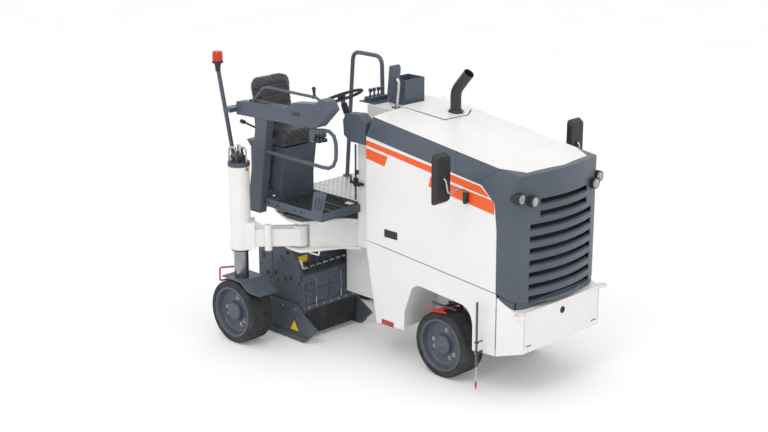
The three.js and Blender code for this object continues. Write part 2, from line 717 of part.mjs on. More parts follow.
function swingArm() {
  const angle = Math.atan2(HINGE_Y - RIGHT_REAR_Y, HINGE_X - COLUMN_X);
  const reach = Math.hypot(HINGE_Y - RIGHT_REAR_Y, HINGE_X - COLUMN_X);
  const turn = THREE.MathUtils.radToDeg(angle);
  const place = (solid) => solid.rotate([0, 0, turn]).translate([COLUMN_X, RIGHT_REAR_Y, 0]);
  const beam = box([0, reach], [-72, 72], [ARM_BOTTOM + 12, ARM_TOP - 16]);
  const clamp = box([COLUMN_RADIUS - 60, COLUMN_RADIUS + 34], [-96, 96], [ARM_BOTTOM - 8, ARM_TOP + 52]);
  const gusset = prism('y', -9, 9, [
    [COLUMN_RADIUS + 30, ARM_TOP + 50],
    [COLUMN_RADIUS + 30, ARM_TOP - 20],
    [COLUMN_RADIUS + 150, ARM_TOP - 20],
  ]);
  const barrel = bar('z', HINGE_RADIUS + 20, ARM_BOTTOM, ARM_TOP, [HINGE_X, HINGE_Y], 20);
  const pin = bar('z', 34, ARM_BOTTOM - 14, ARM_TOP + 34, [reach * 0.46, -88], 20);
  const collar = bar('z', COLUMN_RADIUS + 12, ARM_BOTTOM, ARM_BOTTOM + 40, [COLUMN_X, RIGHT_REAR_Y]);
  const columnHole = bar('z', COLUMN_RADIUS + FACE_GAP, 0, 3000, [COLUMN_X, RIGHT_REAR_Y]);
  const hingeHole = bar('z', 26, 0, 3000, [HINGE_X, HINGE_Y], 20);
  const arm = join(place(join(beam, clamp, gusset, pin)), barrel, collar);
  part('swing_arm', arm.subtract(columnHole).subtract(hingeHole), WHITE);
}

// inward is +1 when the machine's middle lies to the left of the leg and -1 when it lies to the right.
function leg(name, y, inward) {
  const rod = bar('z', ROD_RADIUS, ROD_FOOT + FACE_GAP, ROD_TOP, [COLUMN_X, y], SEGMENTS);
  part(`lift_rod_${name}`, rod, CHROME);
  const reachIn = TYRE_WIDTH / 2 + 16;
  const outer = TYRE_RADIUS + FENDER_GAP;
  const top = TYRE_RADIUS + outer;
  const fenderLine = [
    [-WHEELBASE - 140, top + 2],
    [-WHEELBASE - 140, top - 10],
    [-WHEELBASE + 110, top - 10],
    [-WHEELBASE + 235, top - 92],
    [-WHEELBASE + 310, TYRE_RADIUS + 200],
    [-WHEELBASE + 320, TYRE_RADIUS + 212],
    [-WHEELBASE + 243, top - 80],
    [-WHEELBASE + 114, top + 2],
  ];
  const cover = y - inward * (TYRE_WIDTH / 2 - 15);
  const wallFar = y + inward * (reachIn + CARRIER_SHEET);
  const fender = prism('y', Math.min(cover, wallFar), Math.max(cover, wallFar), fenderLine);
  const corner = prism('z', 0, top + 10, [
    [-WHEELBASE + 200, cover],
    [-WHEELBASE + 400, cover],
    [-WHEELBASE + 400, cover + inward * 110],
  ].map((p) => [p[0], p[1] - inward]));
  const wallNear = y + inward * reachIn;
  const wall = prism('y', Math.min(wallNear, wallFar), Math.max(wallNear, wallFar), [
    [-WHEELBASE - 90, TYRE_RADIUS - 80],
    [-WHEELBASE + 90, TYRE_RADIUS - 80],
    [-WHEELBASE + 200, top - 66],
    [-WHEELBASE + 112, top],
    [-WHEELBASE - 152, top],
    [-WHEELBASE - 220, top - 60],
  ]);
  const flange = bar('z', ROD_RADIUS + 24, top - 6, ROD_FOOT, [COLUMN_X, y], 28);
  const stubEnd = y - inward * (TYRE_WIDTH / 2 - 66);
  const stub = bar('y', AXLE_RADIUS, Math.min(wallNear, stubEnd), Math.max(wallNear, stubEnd),
    [-WHEELBASE, TYRE_RADIUS], 28);
  part(`wheel_carrier_${name}`, join(fender.subtract(corner), wall, flange, stub), SLATE);
}

// ---------------------------------------------------------------- milling unit

function drumHousing() {
  const right = [HOUSING_RIGHT_Y, HOUSING_RIGHT_Y + HOUSING_SHEET];
  const left = [HOUSING_LEFT_Y - HOUSING_SHEET, HOUSING_LEFT_Y];
  const outline = [
    [HOUSING_FRONT_X - 60, 130],
    [HOUSING_FRONT_X, 260],
    [HOUSING_FRONT_X, 540],
    [HOUSING_FRONT_X - 150, 810],
    [HOUSING_FRONT_X - 190, HOUSING_TOP],
    [HOUSING_REAR_X, HOUSING_TOP],
    [HOUSING_REAR_X, 200],
    [HOUSING_REAR_X + 120, 130],
  ];
  const whole = prism('y', HOUSING_RIGHT_Y, HOUSING_LEFT_Y, outline);
  const room = [
    [HOUSING_FRONT_X - HOUSING_SHEET, 0],
    [HOUSING_FRONT_X - HOUSING_SHEET, 560],
    [HOUSING_REAR_X + HOUSING_SHEET, 600],
    [HOUSING_REAR_X + HOUSING_SHEET, 0],
  ];
  const chamber = prism('y', right[1], left[0], room);
  const recess = prism('y', right[1] + 10, left[0] - 10, [
    [HOUSING_FRONT_X + 10, 580],
    [HOUSING_FRONT_X + 10, 900],
    [HOUSING_FRONT_X - 110, 900],
    [HOUSING_FRONT_X - 130, 640],
  ]);
  const rearWall = [HOUSING_REAR_X - 10, HOUSING_REAR_X + HOUSING_SHEET + 1];
  const flap = box(rearWall, [right[1], left[0]], [0, SCRAPER_PIVOT + 16]);
  const bearing = bar('y', 74, HOUSING_RIGHT_Y, right[1] + 1, [DRUM_X, DRUM_AXIS_HEIGHT], 28);
  const bearingLeft = bar('y', 74, left[0] - 1, HOUSING_LEFT_Y, [DRUM_X, DRUM_AXIS_HEIGHT], 28);
  const journal = bar('y', 46, HOUSING_RIGHT_Y - 20, HOUSING_LEFT_Y + 20, [DRUM_X, DRUM_AXIS_HEIGHT], 24);
  const neckTop = ARM_BOTTOM - ARM_GAP - DECK_SHEET - FACE_GAP;
  const neck = box([DRUM_X - 98, DRUM_X + 52], [DRUM_Y - 173, DRUM_Y + 167], [HOUSING_TOP - 1, neckTop]);
  const solid = whole.subtract(chamber).subtract(recess).subtract(flap).add(bearing).add(bearingLeft);
  part('drum_housing', solid.add(neck).subtract(journal), SLATE);
  const skirt = box([HOUSING_FRONT_X + FACE_GAP, HOUSING_FRONT_X + 10], [right[1], left[0]], [45, 292]);
  part('rubber_skirt', skirt, RUBBER);
}

function millingDrum() {
  const half = DRUM_WIDTH / 2 + 26;
  const y = DRUM_Y;
  const body = bar('y', DRUM_RADIUS - 62, y - half + 10, y + half - 10, [DRUM_X, DRUM_AXIS_HEIGHT]);
  const journalReach = half + 36;
  const journal = bar('y', 40, y - journalReach, y + journalReach, [DRUM_X, DRUM_AXIS_HEIGHT], 24);
  let drum = join(body, journal);
  const rows = 10;
  for (let i = 0; i < rows; i += 1) {
    const along = y - half + 30 + (i * (2 * half - 60)) / (rows - 1);
    for (let k = 0; k < 3; k += 1) {
      const pick = box([-16, 16], [along - 15, along + 15], [DRUM_RADIUS - 80, DRUM_RADIUS]);
      const angle = 120 * k + 36 * i;
      drum = drum.add(pick.rotate([0, angle, 0]).translate([DRUM_X, 0, DRUM_AXIS_HEIGHT]));
    }
  }
  part('milling_drum', drum, DARK);
}

function sidePlate(name, face, outward) {
  const near = face + outward * MOVING_GAP;
  const far = near + outward * SIDE_PLATE;
  const low = GROUND_CLEARANCE;
  const plate = prism('y', Math.min(near, far), Math.max(near, far), [
    [HOUSING_FRONT_X + 42, low],
    [HOUSING_FRONT_X + 197, 145],
    [HOUSING_FRONT_X + 3, 257],
    [HOUSING_FRONT_X - 60, 330],
    [HOUSING_REAR_X + 60, 330],
    [HOUSING_REAR_X + 10, 130],
    [HOUSING_REAR_X + 60, low],
  ]);
  const skidFar = far + outward * 24;
  const skid = prism('y', Math.min(far - outward, skidFar), Math.max(far - outward, skidFar), [
    [HOUSING_FRONT_X + 42, low],
    [HOUSING_FRONT_X + 96, low + 43],
    [HOUSING_REAR_X + 90, 60],
    [HOUSING_REAR_X + 60, low],
  ]);
  part(`side_plate_${name}`, join(plate, skid), SLATE);
}

function scraper() {
  const right = HOUSING_RIGHT_Y + HOUSING_SHEET + MOVING_GAP;
  const left = HOUSING_LEFT_Y - HOUSING_SHEET - MOVING_GAP;
  const blade = box([HOUSING_REAR_X, HOUSING_REAR_X + HOUSING_SHEET], [right, left], [20, SCRAPER_PIVOT - 8]);
  const rib = box([HOUSING_REAR_X - 40, HOUSING_REAR_X + 1], [right + 60, left - 60], [260, 300]);
  part('scraper', join(blade, rib), SLATE);
}

// ---------------------------------------------------------------- operator's place

function floor() {
  const rearLeft = COLUMN_RADIUS + MOVING_GAP;
  const plate = box([FLOOR_REAR_X, TOWER_REAR_X - FACE_GAP], [WELL_LEFT_Y + FACE_GAP, FLOOR_LEFT_Y],
    [FLOOR_HEIGHT - 8, FLOOR_HEIGHT]);
  const skirt = box([FLOOR_REAR_X, FLOOR_REAR_X + 8], [WELL_LEFT_Y + FACE_GAP, FLOOR_LEFT_Y],
    [DECK_TOP + FACE_GAP, FLOOR_HEIGHT - 7]);
  const sideSkirt = box([FLOOR_REAR_X, TOWER_REAR_X - FACE_GAP], [FLOOR_LEFT_Y - 8, FLOOR_LEFT_Y],
    [DECK_TOP + FACE_GAP, FLOOR_HEIGHT - 7]);
  const post = bar('z', rearLeft, 1000, 2000, [COLUMN_X, LEFT_REAR_Y]);
  part('floor_plate', join(plate, skirt, sideSkirt).subtract(post), ALUMINIUM);
}

function footwell() {
  const low = FLOOR_HEIGHT - WELL_RAIL;
  const outer = box([WELL_REAR_X, WELL_FRONT_X], [WELL_RIGHT_Y, WELL_LEFT_Y], [low, FLOOR_HEIGHT]);
  const inner = box([PEDESTAL_FRONT_X + 8, WELL_FRONT_X - 8], [WELL_RIGHT_Y + 8, WELL_LEFT_Y - 8],
    [low - 1, FLOOR_HEIGHT + 1]);
  const support = box([WELL_REAR_X, PEDESTAL_FRONT_X], [PEDESTAL_RIGHT_Y + 20, PEDESTAL_LEFT_Y - 20],
    [DECK_TOP + FACE_GAP, low + 1]);
  const tower = box([TOWER_REAR_X - FACE_GAP, 0], [TOWER_RIGHT_Y - FACE_GAP, 0], [0, 3000]);
  const grid = box([PEDESTAL_FRONT_X + 7, WELL_FRONT_X - 7], [WELL_RIGHT_Y + 7, WELL_LEFT_Y - 7],
    [low + 30, low + 44]);
  part('footwell', join(outer.subtract(inner), support, grid).subtract(tower), SLATE);
}

function pedestal() {
  const outline = [
    [PEDESTAL_FRONT_X, FLOOR_HEIGHT + FACE_GAP],
    [PEDESTAL_FRONT_X, 1480],
    [PEDESTAL_FRONT_X + 44, PEDESTAL_TOP],
    [PEDESTAL_REAR_X, PEDESTAL_TOP],
    [PEDESTAL_REAR_X + 60, 1700],
    [PEDESTAL_REAR_X + 60, FLOOR_HEIGHT + FACE_GAP],
  ];
  part('seat_pedestal', prism('y', PEDESTAL_RIGHT_Y, PEDESTAL_LEFT_Y, outline), SLATE);
}

function seat() {
  const half = SEAT_WIDTH / 2;
  const low = PEDESTAL_TOP + MOVING_GAP;
  const base = box([SEAT_X - 200, SEAT_X + 170], [SEAT_Y - 170, SEAT_Y + 170], [low, low + 34]);
  const hinge = box([SEAT_X - 240, SEAT_X - 196], [SEAT_Y - 150, SEAT_Y + 150], [low, low + 190]);
  part('seat_base', join(base, hinge), DARK);
  const cushionLow = low + 34 + FACE_GAP;
  const cushion = prism('y', SEAT_Y - half, SEAT_Y + half, roundedOutline([
    [SEAT_X - 190, cushionLow],
    [SEAT_X + 240, cushionLow],
    [SEAT_X + 250, cushionLow + 110],
    [SEAT_X - 190, cushionLow + 90],
  ], 34));
  part('seat_cushion', cushion, LEATHERETTE);
  const back = prism('x', 0, 90, roundedOutline([
    [SEAT_Y - half, 0],
    [SEAT_Y + half, 0],
    [SEAT_Y + half - 40, 450],
    [SEAT_Y - half + 40, 450],
  ], 70)).rotate([0, -8, 0]).translate([SEAT_X - 194, 0, cushionLow + 94]);
  const clear = back.subtract(box([SEAT_X - 500, SEAT_X - 195 + 400], [-2000, 0], [0, cushionLow + 92]));
  part('seat_backrest', clear.subtract(hinge), LEATHERETTE);
}

// The underside of the console from its rear end to its nose, lowered by a gap.
function consoleUnderside(gap) {
  const z = CONSOLE_BOTTOM - gap;
  return [
    [CONSOLE_REAR_X, z],
    [SEAT_X + 700, z + 34],
    [SEAT_X + 798, z + 54],
    [SEAT_X + 966 + gap, z + 220 + gap],
  ];
}

function armConsole() {
  const y = [CONSOLE_Y - CONSOLE_WIDTH / 2, CONSOLE_Y + CONSOLE_WIDTH / 2];
  const z = CONSOLE_BOTTOM;
  const body = prism('y', y[0], y[1], [
    ...consoleUnderside(0),
    [SEAT_X + 918, z + 296],
    [SEAT_X + 840, z + 306],
    [SEAT_X + 766, z + 250],
    [SEAT_X + 480, z + 218],
    [SEAT_X + 379, z + 156],
    [SEAT_X - 64, z + 145],
    [CONSOLE_REAR_X, z + 118],
  ]);
  const railY = y[0] + 24;
  const rail = tube([
    [SEAT_X - 62, railY, z + 136],
    [SEAT_X + 98, railY, z + 301],
    [SEAT_X + 804, railY, z + 305],
    [SEAT_X + 820, railY, z + 280],
  ], RAIL_RADIUS - 4, 22, 8, 14);
  part('right_console', join(body, rail), SLATE);
}

function consolePost() {
  const y = [CONSOLE_Y - 40, CONSOLE_Y + 40];
  const post = prism('y', y[0], y[1], [
    [SEAT_X - 160, DECK_TOP + 20],
    [SEAT_X + 10, DECK_TOP + 20],
    [SEAT_X + 138, CONSOLE_BOTTOM + 30],
    [SEAT_X - 8, CONSOLE_BOTTOM + 30],
  ]);
  const foot = box([SEAT_X - 135, SEAT_X + 25], [CONSOLE_Y - 40, PEDESTAL_RIGHT_Y - FACE_GAP],
    [FLOOR_HEIGHT - 60, FLOOR_HEIGHT + 60]);
  const loopY = CONSOLE_Y - 13;
  const guard = tube([
    [SEAT_X + 60, loopY, CONSOLE_BOTTOM - 281],
    [SEAT_X + 984, loopY, CONSOLE_BOTTOM - 298],
    [SEAT_X + 984, loopY, CONSOLE_BOTTOM + 56],
    [SEAT_X + 760, loopY, CONSOLE_BOTTOM + 18],
  ], RAIL_RADIUS, 150, 8, 20);
  const consoleRoom = prism('y', y[0] - 60, y[1] + 60, [
    ...consoleUnderside(FACE_GAP),
    [SEAT_X + 966, CONSOLE_BOTTOM + 400],
    [CONSOLE_REAR_X, CONSOLE_BOTTOM + 400],
  ]);
  part('console_post', join(post, foot, guard).subtract(consoleRoom), SLATE);
}

function steeringStand() {
  const front = HOOD_REAR_X - 28;
  const body = prism('y', STEER_Y - 60, TOWER_RIGHT_Y - FACE_GAP, [
    [front, 1880],
    [front, 2070],
    [front - 90, 2134],
    [TOWER_REAR_X - 30, 2120],
    [TOWER_REAR_X - 70, 2060],
    [TOWER_REAR_X - 60, 1930],
    [TOWER_REAR_X + 10, 1880],
  ]);
  const lean = THREE.MathUtils.degToRad(STEER_TILT);
  const down = (length) => [
    STEER_X + length * Math.sin(lean),
    STEER_Y,
    STEER_HEIGHT - length * Math.cos(lean),
  ];
  const column = tube([down(225), down(BOSS_DEPTH + MOVING_GAP)], 22, 1, 10);
  part('steering_stand', join(body, column), SLATE);
}

function steeringWheel() {
  const ring = new THREE.TorusGeometry(185, 14, 6, 24);
  const spokes = [90, 210, 330].map((angle) => box([0, 186], [-12, 12], [-8, 8]).rotate([0, 0, angle]));
  const boss = bar('z', 38, -BOSS_DEPTH, 30, [0, 0], 16);
  const wheelSolid = join(toSolid(ring), boss, ...spokes);
  const placed = wheelSolid.rotate([0, -STEER_TILT, 0]).translate([STEER_X, STEER_Y, STEER_HEIGHT]);
  part('steering_wheel', placed, DARK);
}

function ledge() {
  const top = TOWER_CAP_TOP + 10;
  const rear = TOWER_CAP_REAR_X;
  const shelf = box([rear - 135, rear + 60], [-200, 100], [TOWER_CAP_TOP + FACE_GAP, top]);
  let bank = join(shelf, box([rear - 100, rear - 10], [-170, 40], [top - 1, top + 36]));
  for (let i = 0; i < 4; i += 1) {
    const y = -140 + i * 50;
    bank = bank.add(bar('z', 9, top + 35, top + 90, [TOWER_CAP_REAR_X - 55, y], 8));
    bank = bank.add(bar('z', 16, top + 80, top + 110, [TOWER_CAP_REAR_X - 55, y], 8));
  }
  part('lever_ledge', bank, SLATE);
}

function display() {
  const x = HOOD_REAR_X - 38;
  const low = TOWER_CAP_TOP + 92;
  const housing = prism('y', -205, -110, [
    [x - 85, low + 8],
    [x - 35, low],
    [x - 5, low + 258],
    [x - 25, low + 288],
    [x - 55, low + 280],
  ]);
  const stalk = tube([
    [x - 10, -160, TOWER_CAP_TOP + 4],
    [x + 14, -160, low + 98],
    [x + 14, -160, low + 168],
    [x - 30, -160, low + 168],
  ], 15, 34, 8, 10);
  const foot = box([x - 40, x + 12], [-190, -130], [TOWER_CAP_TOP + FACE_GAP, TOWER_CAP_TOP + 12]);
  part('display', join(housing, stalk, foot), SLATE);
}

function tray() {
  const x = [TOWER_CAP_REAR_X + 80, HOOD_REAR_X - 58];
  const y = [-40, 205];
  const z = [TOWER_CAP_TOP + FACE_GAP, TOWER_CAP_TOP + 226];
  const inner = box([x[0] + 6, x[1] - 6], [y[0] + 6, y[1] - 6], [z[0] + 6, z[1] + 1]);
  part('storage_tray', box(x, y, z).subtract(inner), SLATE);
}

function hoop() {
  const handrail = tube([
    [FLOOR_REAR_X + 28, HOOP_Y, FLOOR_HEIGHT + 6],
    [FLOOR_REAR_X + 120, HOOP_Y, FLOOR_HEIGHT + HOOP_RISE],
    [FLOOR_REAR_X + 490, HOOP_Y, FLOOR_HEIGHT + HOOP_RISE],
    [FLOOR_REAR_X + 518, HOOP_Y, FLOOR_HEIGHT + 6],
  ], HOOP_RADIUS, 90, 8, 24);
  const feetX = [FLOOR_REAR_X, FLOOR_REAR_X + 550];
  const feet = box(feetX, [HOOP_Y - 30, HOOP_Y + 30], [FLOOR_HEIGHT + FACE_GAP, FLOOR_HEIGHT + 12]);
  const gap = box([FLOOR_REAR_X + 80, FLOOR_REAR_X + 470], [HOOP_Y - 40, HOOP_Y + 40], [FLOOR_HEIGHT - 10, FLOOR_HEIGHT + 20]);
  part('entry_handrail', join(handrail, feet.subtract(gap)), SLATE);
}

function mast() {
  const x = PEDESTAL_REAR_X - 20;
  const base = [x, -932, 1560];
  const top = [x, -1093, 2450];
  const pole = tube([base, top], MAST_RADIUS, 1, 10);
  const footing = box([x - 22, PEDESTAL_REAR_X + 60 - FACE_GAP], [-952, -700], [1560, 1610]);
  const stay = box([x - 12, CONSOLE_REAR_X - FACE_GAP], [-1040, -880], [CONSOLE_BOTTOM + 24, CONSOLE_BOTTOM + 64]);
  const plate = bar('z', 44, top[2] - 2, top[2] + 10, [top[0], top[1]], 20);
  const lamp = bar('z', 50, top[2] + 9, top[2] + 150, [top[0], top[1]], 20);
  part('beacon_mast', join(pole, footing, stay, plate, lamp), SLATE);
}

// ---------------------------------------------------------------- assembly

wheel('front_right', 0, -FRONT_WHEEL_Y, -1);
wheel('front_left', 0, FRONT_WHEEL_Y, 1);
wheel('rear_right', -WHEELBASE, RIGHT_REAR_Y, -1);
wheel('rear_left', -WHEELBASE, LEFT_REAR_Y, 1);
frontAxle();
knuckle('right', -1);
knuckle('left', 1);
hoodPanels();
headlights('right', -1);
headlights('left', 1);
fixedCover();
exhaust();
mirror('right', -1);
mirror('left', 1);
lowerBody();
bumper();
sightRod();
frame();
tower();
deck();
column('right', RIGHT_REAR_Y);
column('left', LEFT_REAR_Y);
swingArm();
leg('right', RIGHT_REAR_Y, 1);
leg('left', LEFT_REAR_Y, -1);
drumHousing();
millingDrum();
sidePlate('right', HOUSING_RIGHT_Y, -1);
sidePlate('left', HOUSING_LEFT_Y, 1);
scraper();
floor();
footwell();
pedestal();
seat();
armConsole();
consolePost();
steeringStand();
steeringWheel();
ledge();
display();
tray();
hoop();
mast();

const bounds = new THREE.Box3().setFromObject(machine);
const middle = bounds.getCenter(new THREE.Vector3());
machine.position.set(-middle.x, -middle.y, -bounds.min.z);
machine.updateMatrixWorld(true);

export default machine;
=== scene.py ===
import logging
import math
from collections.abc import Sequence
from dataclasses import dataclass
from enum import Enum

import bmesh
import bpy
from mathutils import Matrix, Vector


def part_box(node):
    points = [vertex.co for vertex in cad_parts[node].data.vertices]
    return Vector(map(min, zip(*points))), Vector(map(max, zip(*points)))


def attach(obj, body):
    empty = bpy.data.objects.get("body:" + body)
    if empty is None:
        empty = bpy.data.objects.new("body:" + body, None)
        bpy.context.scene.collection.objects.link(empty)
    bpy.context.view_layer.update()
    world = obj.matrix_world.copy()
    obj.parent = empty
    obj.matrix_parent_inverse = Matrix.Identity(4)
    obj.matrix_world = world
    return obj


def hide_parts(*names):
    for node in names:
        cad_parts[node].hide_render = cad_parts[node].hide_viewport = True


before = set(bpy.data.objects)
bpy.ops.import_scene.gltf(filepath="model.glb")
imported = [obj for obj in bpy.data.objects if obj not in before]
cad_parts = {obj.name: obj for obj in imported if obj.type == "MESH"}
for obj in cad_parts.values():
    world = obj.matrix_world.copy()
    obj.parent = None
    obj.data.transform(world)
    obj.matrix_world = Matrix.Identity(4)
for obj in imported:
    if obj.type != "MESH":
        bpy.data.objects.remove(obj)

log = logging.getLogger("cold_planer")

Colour = tuple[float, float, float]
Pair = tuple[float, float]
Point = tuple[float, float, float]
Socket = bpy.types.NodeSocket
Piece = bpy.types.Object

MM = 0.001
AHEAD, BACK = (1, 0, 0), (-1, 0, 0)
LEFT, RIGHT = (0, 1, 0), (0, -1, 0)
UP = (0, 0, 1)
ROUND_STEPS = 48
FINE_STEPS = 96
MIDDLE = (0.3, 0.7)
NARROW = (0.35, 0.65)
HOOD_FALL = 0.137
PANEL_HALF = 580.0
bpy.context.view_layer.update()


def wheel_datum() -> Vector:
    """Point on the ground between the front wheels, which every station size starts from."""
    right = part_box("tyre_front_right")
    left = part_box("tyre_front_left")
    middle = (right[0] + right[1] + left[0] + left[1]) / 4
    return Vector((middle.x, middle.y, 0.0))


DATUM = wheel_datum()


def at(x: float, y: float, z: float) -> Vector:
    """Point of the frame, in metres, for a station in millimetres."""
    return DATUM + Vector((x, y, z)) * MM


# ---------------------------------------------------------------- materials


class Slot(Enum):
    """Material slots of the record."""

    TYRE = "tyre"
    WHITE = "white_paint"
    SLATE = "slate_paint"
    IRON = "dark_metal"
    CHROME = "rod_chrome"
    TREAD = "tread_aluminium"
    PLASTIC = "black_plastic"
    SHEET = "rubber_sheet"
    SEAT = "seat_cover"


class Wiring:
    """Short ways to add nodes to a tree and to feed them."""

    def __init__(self, tree: bpy.types.NodeTree) -> None:
        """Starts on a tree."""
        self.tree = tree

    def feed(self, socket: Socket, value: object) -> None:
        """Links a socket into another, or sets its value.

        Args:
            socket: the input that is fed.
            value: an output socket, or a number or colour.
        """
        if isinstance(value, Socket):
            self.tree.links.new(value, socket)
        else:
            socket.default_value = value

    def node(self, kind: str, settings: dict[str, object] | None = None, **inputs: object) -> bpy.types.Node:
        """Adds a node and feeds its inputs.

        Args:
            kind: the node's type.
            settings: its properties.
            inputs: values by input name, with _ for a space; a list feeds a joining input.

        Returns:
            The new node.
        """
        made = self.tree.nodes.new(kind)
        for key, value in (settings or {}).items():
            setattr(made, key, value)
        for label, value in inputs.items():
            name = label.replace("_", " ")
            socket = next(s for s in made.inputs if s.name == name and s.enabled)
            for each in value if isinstance(value, list) else [value]:
                self.feed(socket, each)
        return made

    def math(self, operation: str, first: object, second: object) -> Socket:
        """One sum of two values."""
        made = self.node("ShaderNodeMath", {"operation": operation})
        self.feed(made.inputs[0], first)
        self.feed(made.inputs[1], second)
        return made.outputs[0]

    def product(self, first: object, second: object) -> Socket:
        """Product of two values."""
        return self.math("MULTIPLY", first, second)


class Shader(Wiring):
    """A material's node tree, built around one Principled shader on object coordinates."""

    def __init__(self, name: str) -> None:
        """Starts the material.

        Args:
            name: the material's name.
        """
        self.material = bpy.data.materials.new(name)
        self.material.use_nodes = True
        super().__init__(self.material.node_tree)
        self.core = self.tree.nodes["Principled BSDF"]
        self.coords = self.tree.nodes.new("ShaderNodeTexCoord").outputs["Object"]
        self.normal: Socket | None = None

    def set(self, **inputs: object) -> None:
        """Sets inputs of the Principled shader, with _ for a space in their names."""
        for label, value in inputs.items():
            self.feed(self.core.inputs[label.replace("_", " ")], value)

    def stretched(self, stretch: Point) -> Socket:
        """Object coordinates scaled by a factor along each axis."""
        return self.node("ShaderNodeMapping", Vector=self.coords, Scale=stretch).outputs["Vector"]

    def noise(self, scale: float, detail: float = 3.0, stretch: Point = (1, 1, 1)) -> Socket:
        """Noise value.

        Args:
            scale: features per metre.
            detail: octaves.
            stretch: factor along each axis.

        Returns:
            The noise factor's socket.
        """
        vector = self.coords if stretch == (1, 1, 1) else self.stretched(stretch)
        return self.node("ShaderNodeTexNoise", Vector=vector, Scale=scale, Detail=detail).outputs[0]

    def cells(self, scale: float) -> Socket:
        """Distance inside the cells of a Voronoi pattern with that many cells per metre."""
        return self.node("ShaderNodeTexVoronoi", Vector=self.coords, Scale=scale).outputs["Distance"]

    def span(self, value: object, source: Pair, target: Pair) -> Socket:
        """Value moved from one range to another and clamped."""
        made = self.node("ShaderNodeMapRange", Value=value, From_Min=source[0], From_Max=source[1],
                         To_Min=target[0], To_Max=target[1])
        return made.outputs[0]

    def varied(self, scale: float, detail: float, target: Pair, source: Pair = MIDDLE) -> Socket:
        """Noise spread over a range.

        Args:
            scale: features per metre.
            detail: octaves.
            target: values at the two ends.
            source: noise values that reach those ends.

        Returns:
            The value's socket.
        """
        return self.span(self.noise(scale, detail), source, target)

    def height(self) -> Socket:
        """Height above the ground, in metres."""
        return self.node("ShaderNodeSeparateXYZ", Vector=self.coords).outputs["Z"]

    def edges(self) -> Socket:
        """How sharply the surface is bent outward, about 0.5 where it is flat."""
        return self.tree.nodes.new("ShaderNodeNewGeometry").outputs["Pointiness"]

    def mix(self, factor: object, first: object, second: object) -> Socket:
        """Colour between two.

        Args:
            factor: 0 for the first colour and 1 for the second.
            first: colour or socket.
            second: colour or socket.

        Returns:
            The mixed colour's socket.
        """
        made = self.node("ShaderNodeMix", {"data_type": "RGBA"})
        for index, value in ((0, factor), (6, first), (7, second)):
            self.feed(made.inputs[index], (*value, 1.0) if isinstance(value, tuple) else value)
        return made.outputs[2]

    def bump(self, height: object, distance: float, strength: float = 1.0) -> None:
        """Adds relief on top of what is there.

        Args:
            height: value from 0 to 1.
            distance: its depth in metres.
            strength: share of it that shows.
        """
        made = self.node("ShaderNodeBump", Height=height, Distance=distance, Strength=strength)
        if self.normal:
            self.feed(made.inputs["Normal"], self.normal)
        self.normal = made.outputs["Normal"]
        self.feed(self.core.inputs["Normal"], self.normal)


@dataclass(frozen=True)
class Finish:
    """A surface: its name, the record's slot it belongs to, and its main look."""

    name: str
    slot: Slot
    colour: Colour
    roughness: float = 0.5

    def material(self) -> bpy.types.Material:
        """The material, made at first use."""
        found = bpy.data.materials.get(self.name)
        if found:
            return found
        shader = Shader(self.name)
        self.paint(shader)
        return shader.material

    def tones(self, low: float, high: float) -> tuple[Colour, Colour]:
        """The main colour darkened and lightened by two factors."""
        return tuple(c * low for c in self.colour), tuple(min(c * high, 1.0) for c in self.colour)

    def mottle(self, shader: Shader, scale: float, detail: float, tones: Pair,
               source: Pair = NARROW) -> Socket:
        """Noise between a darker and a lighter tone of the main colour.

        Args:
            shader: where it is built.
            scale: features per metre.
            detail: octaves.
            tones: factors of the two tones.
            source: noise values that reach them.

        Returns:
            The colour's socket.
        """
        dark, light = self.tones(*tones)
        return shader.mix(shader.varied(scale, detail, (0, 1), source), dark, light)

    def paint(self, shader: Shader) -> None:
        """Builds the surface on a shader."""
        raise NotImplementedError


@dataclass(frozen=True)
class Paint(Finish):
    """Sprayed coat: faint orange peel, cloudy tone, dust near the ground and lighter worn edges."""

    dust: float = 0.25
    wear: float = 0.3
    cloud: float = 0.05
    peel: float = 0.00012
    dust_colour: Colour = (0.34, 0.31, 0.27)

    def paint(self, shader: Shader) -> None:
        """Builds the coat."""
        tone = self.mottle(shader, 2.6, 4, (1 - self.cloud, 1 + self.cloud))
        low = shader.span(shader.height(), (0.05, 0.9), (self.dust, 0.02 * self.dust))
        specks = shader.varied(38, 6, (0.15, 1), (0.42, 0.72))
        dusty = shader.mix(shader.product(low, specks), tone, self.dust_colour)
        rubbed = shader.product(shader.span(shader.edges(), (0.53, 0.62), (0, self.wear)),
                                shader.varied(90, 4, (0, 1), (0.4, 0.6)))
        worn = tuple(min(1.0, c * 1.5 + 0.05) for c in self.colour)
        shader.set(Base_Color=shader.mix(rubbed, dusty, worn),
                   Roughness=shader.varied(9, 5, (self.roughness - 0.06, self.roughness + 0.1)),
                   Coat_Weight=0.15, Coat_Roughness=0.25)
        shader.bump(shader.noise(620, 2), self.peel, 0.6)
        shader.bump(shader.noise(6, 2), 0.0012, 0.25)


@dataclass(frozen=True)
class Rubber(Finish):
    """Moulded rubber: mottled tone, pale dust and a fine pitted skin."""

    dust: float = 0.35

    def paint(self, shader: Shader) -> None:
        """Builds the rubber."""
        tone = self.mottle(shader, 22, 6, (0.72, 1.35))
        bloom = shader.product(shader.varied(7, 7, (0, self.dust), (0.45, 0.7)),
                               shader.varied(160, 3, (0.4, 1), (0.35, 0.65)))
        shader.set(Base_Color=shader.mix(bloom, tone, (0.22, 0.21, 0.2)),
                   Roughness=shader.varied(60, 3, (self.roughness - 0.08, self.roughness + 0.08)),
                   Specular_IOR_Level=0.35)
        shader.bump(shader.noise(480, 4), 0.0004, 0.7)
        shader.bump(shader.noise(45, 4), 0.0008, 0.4)


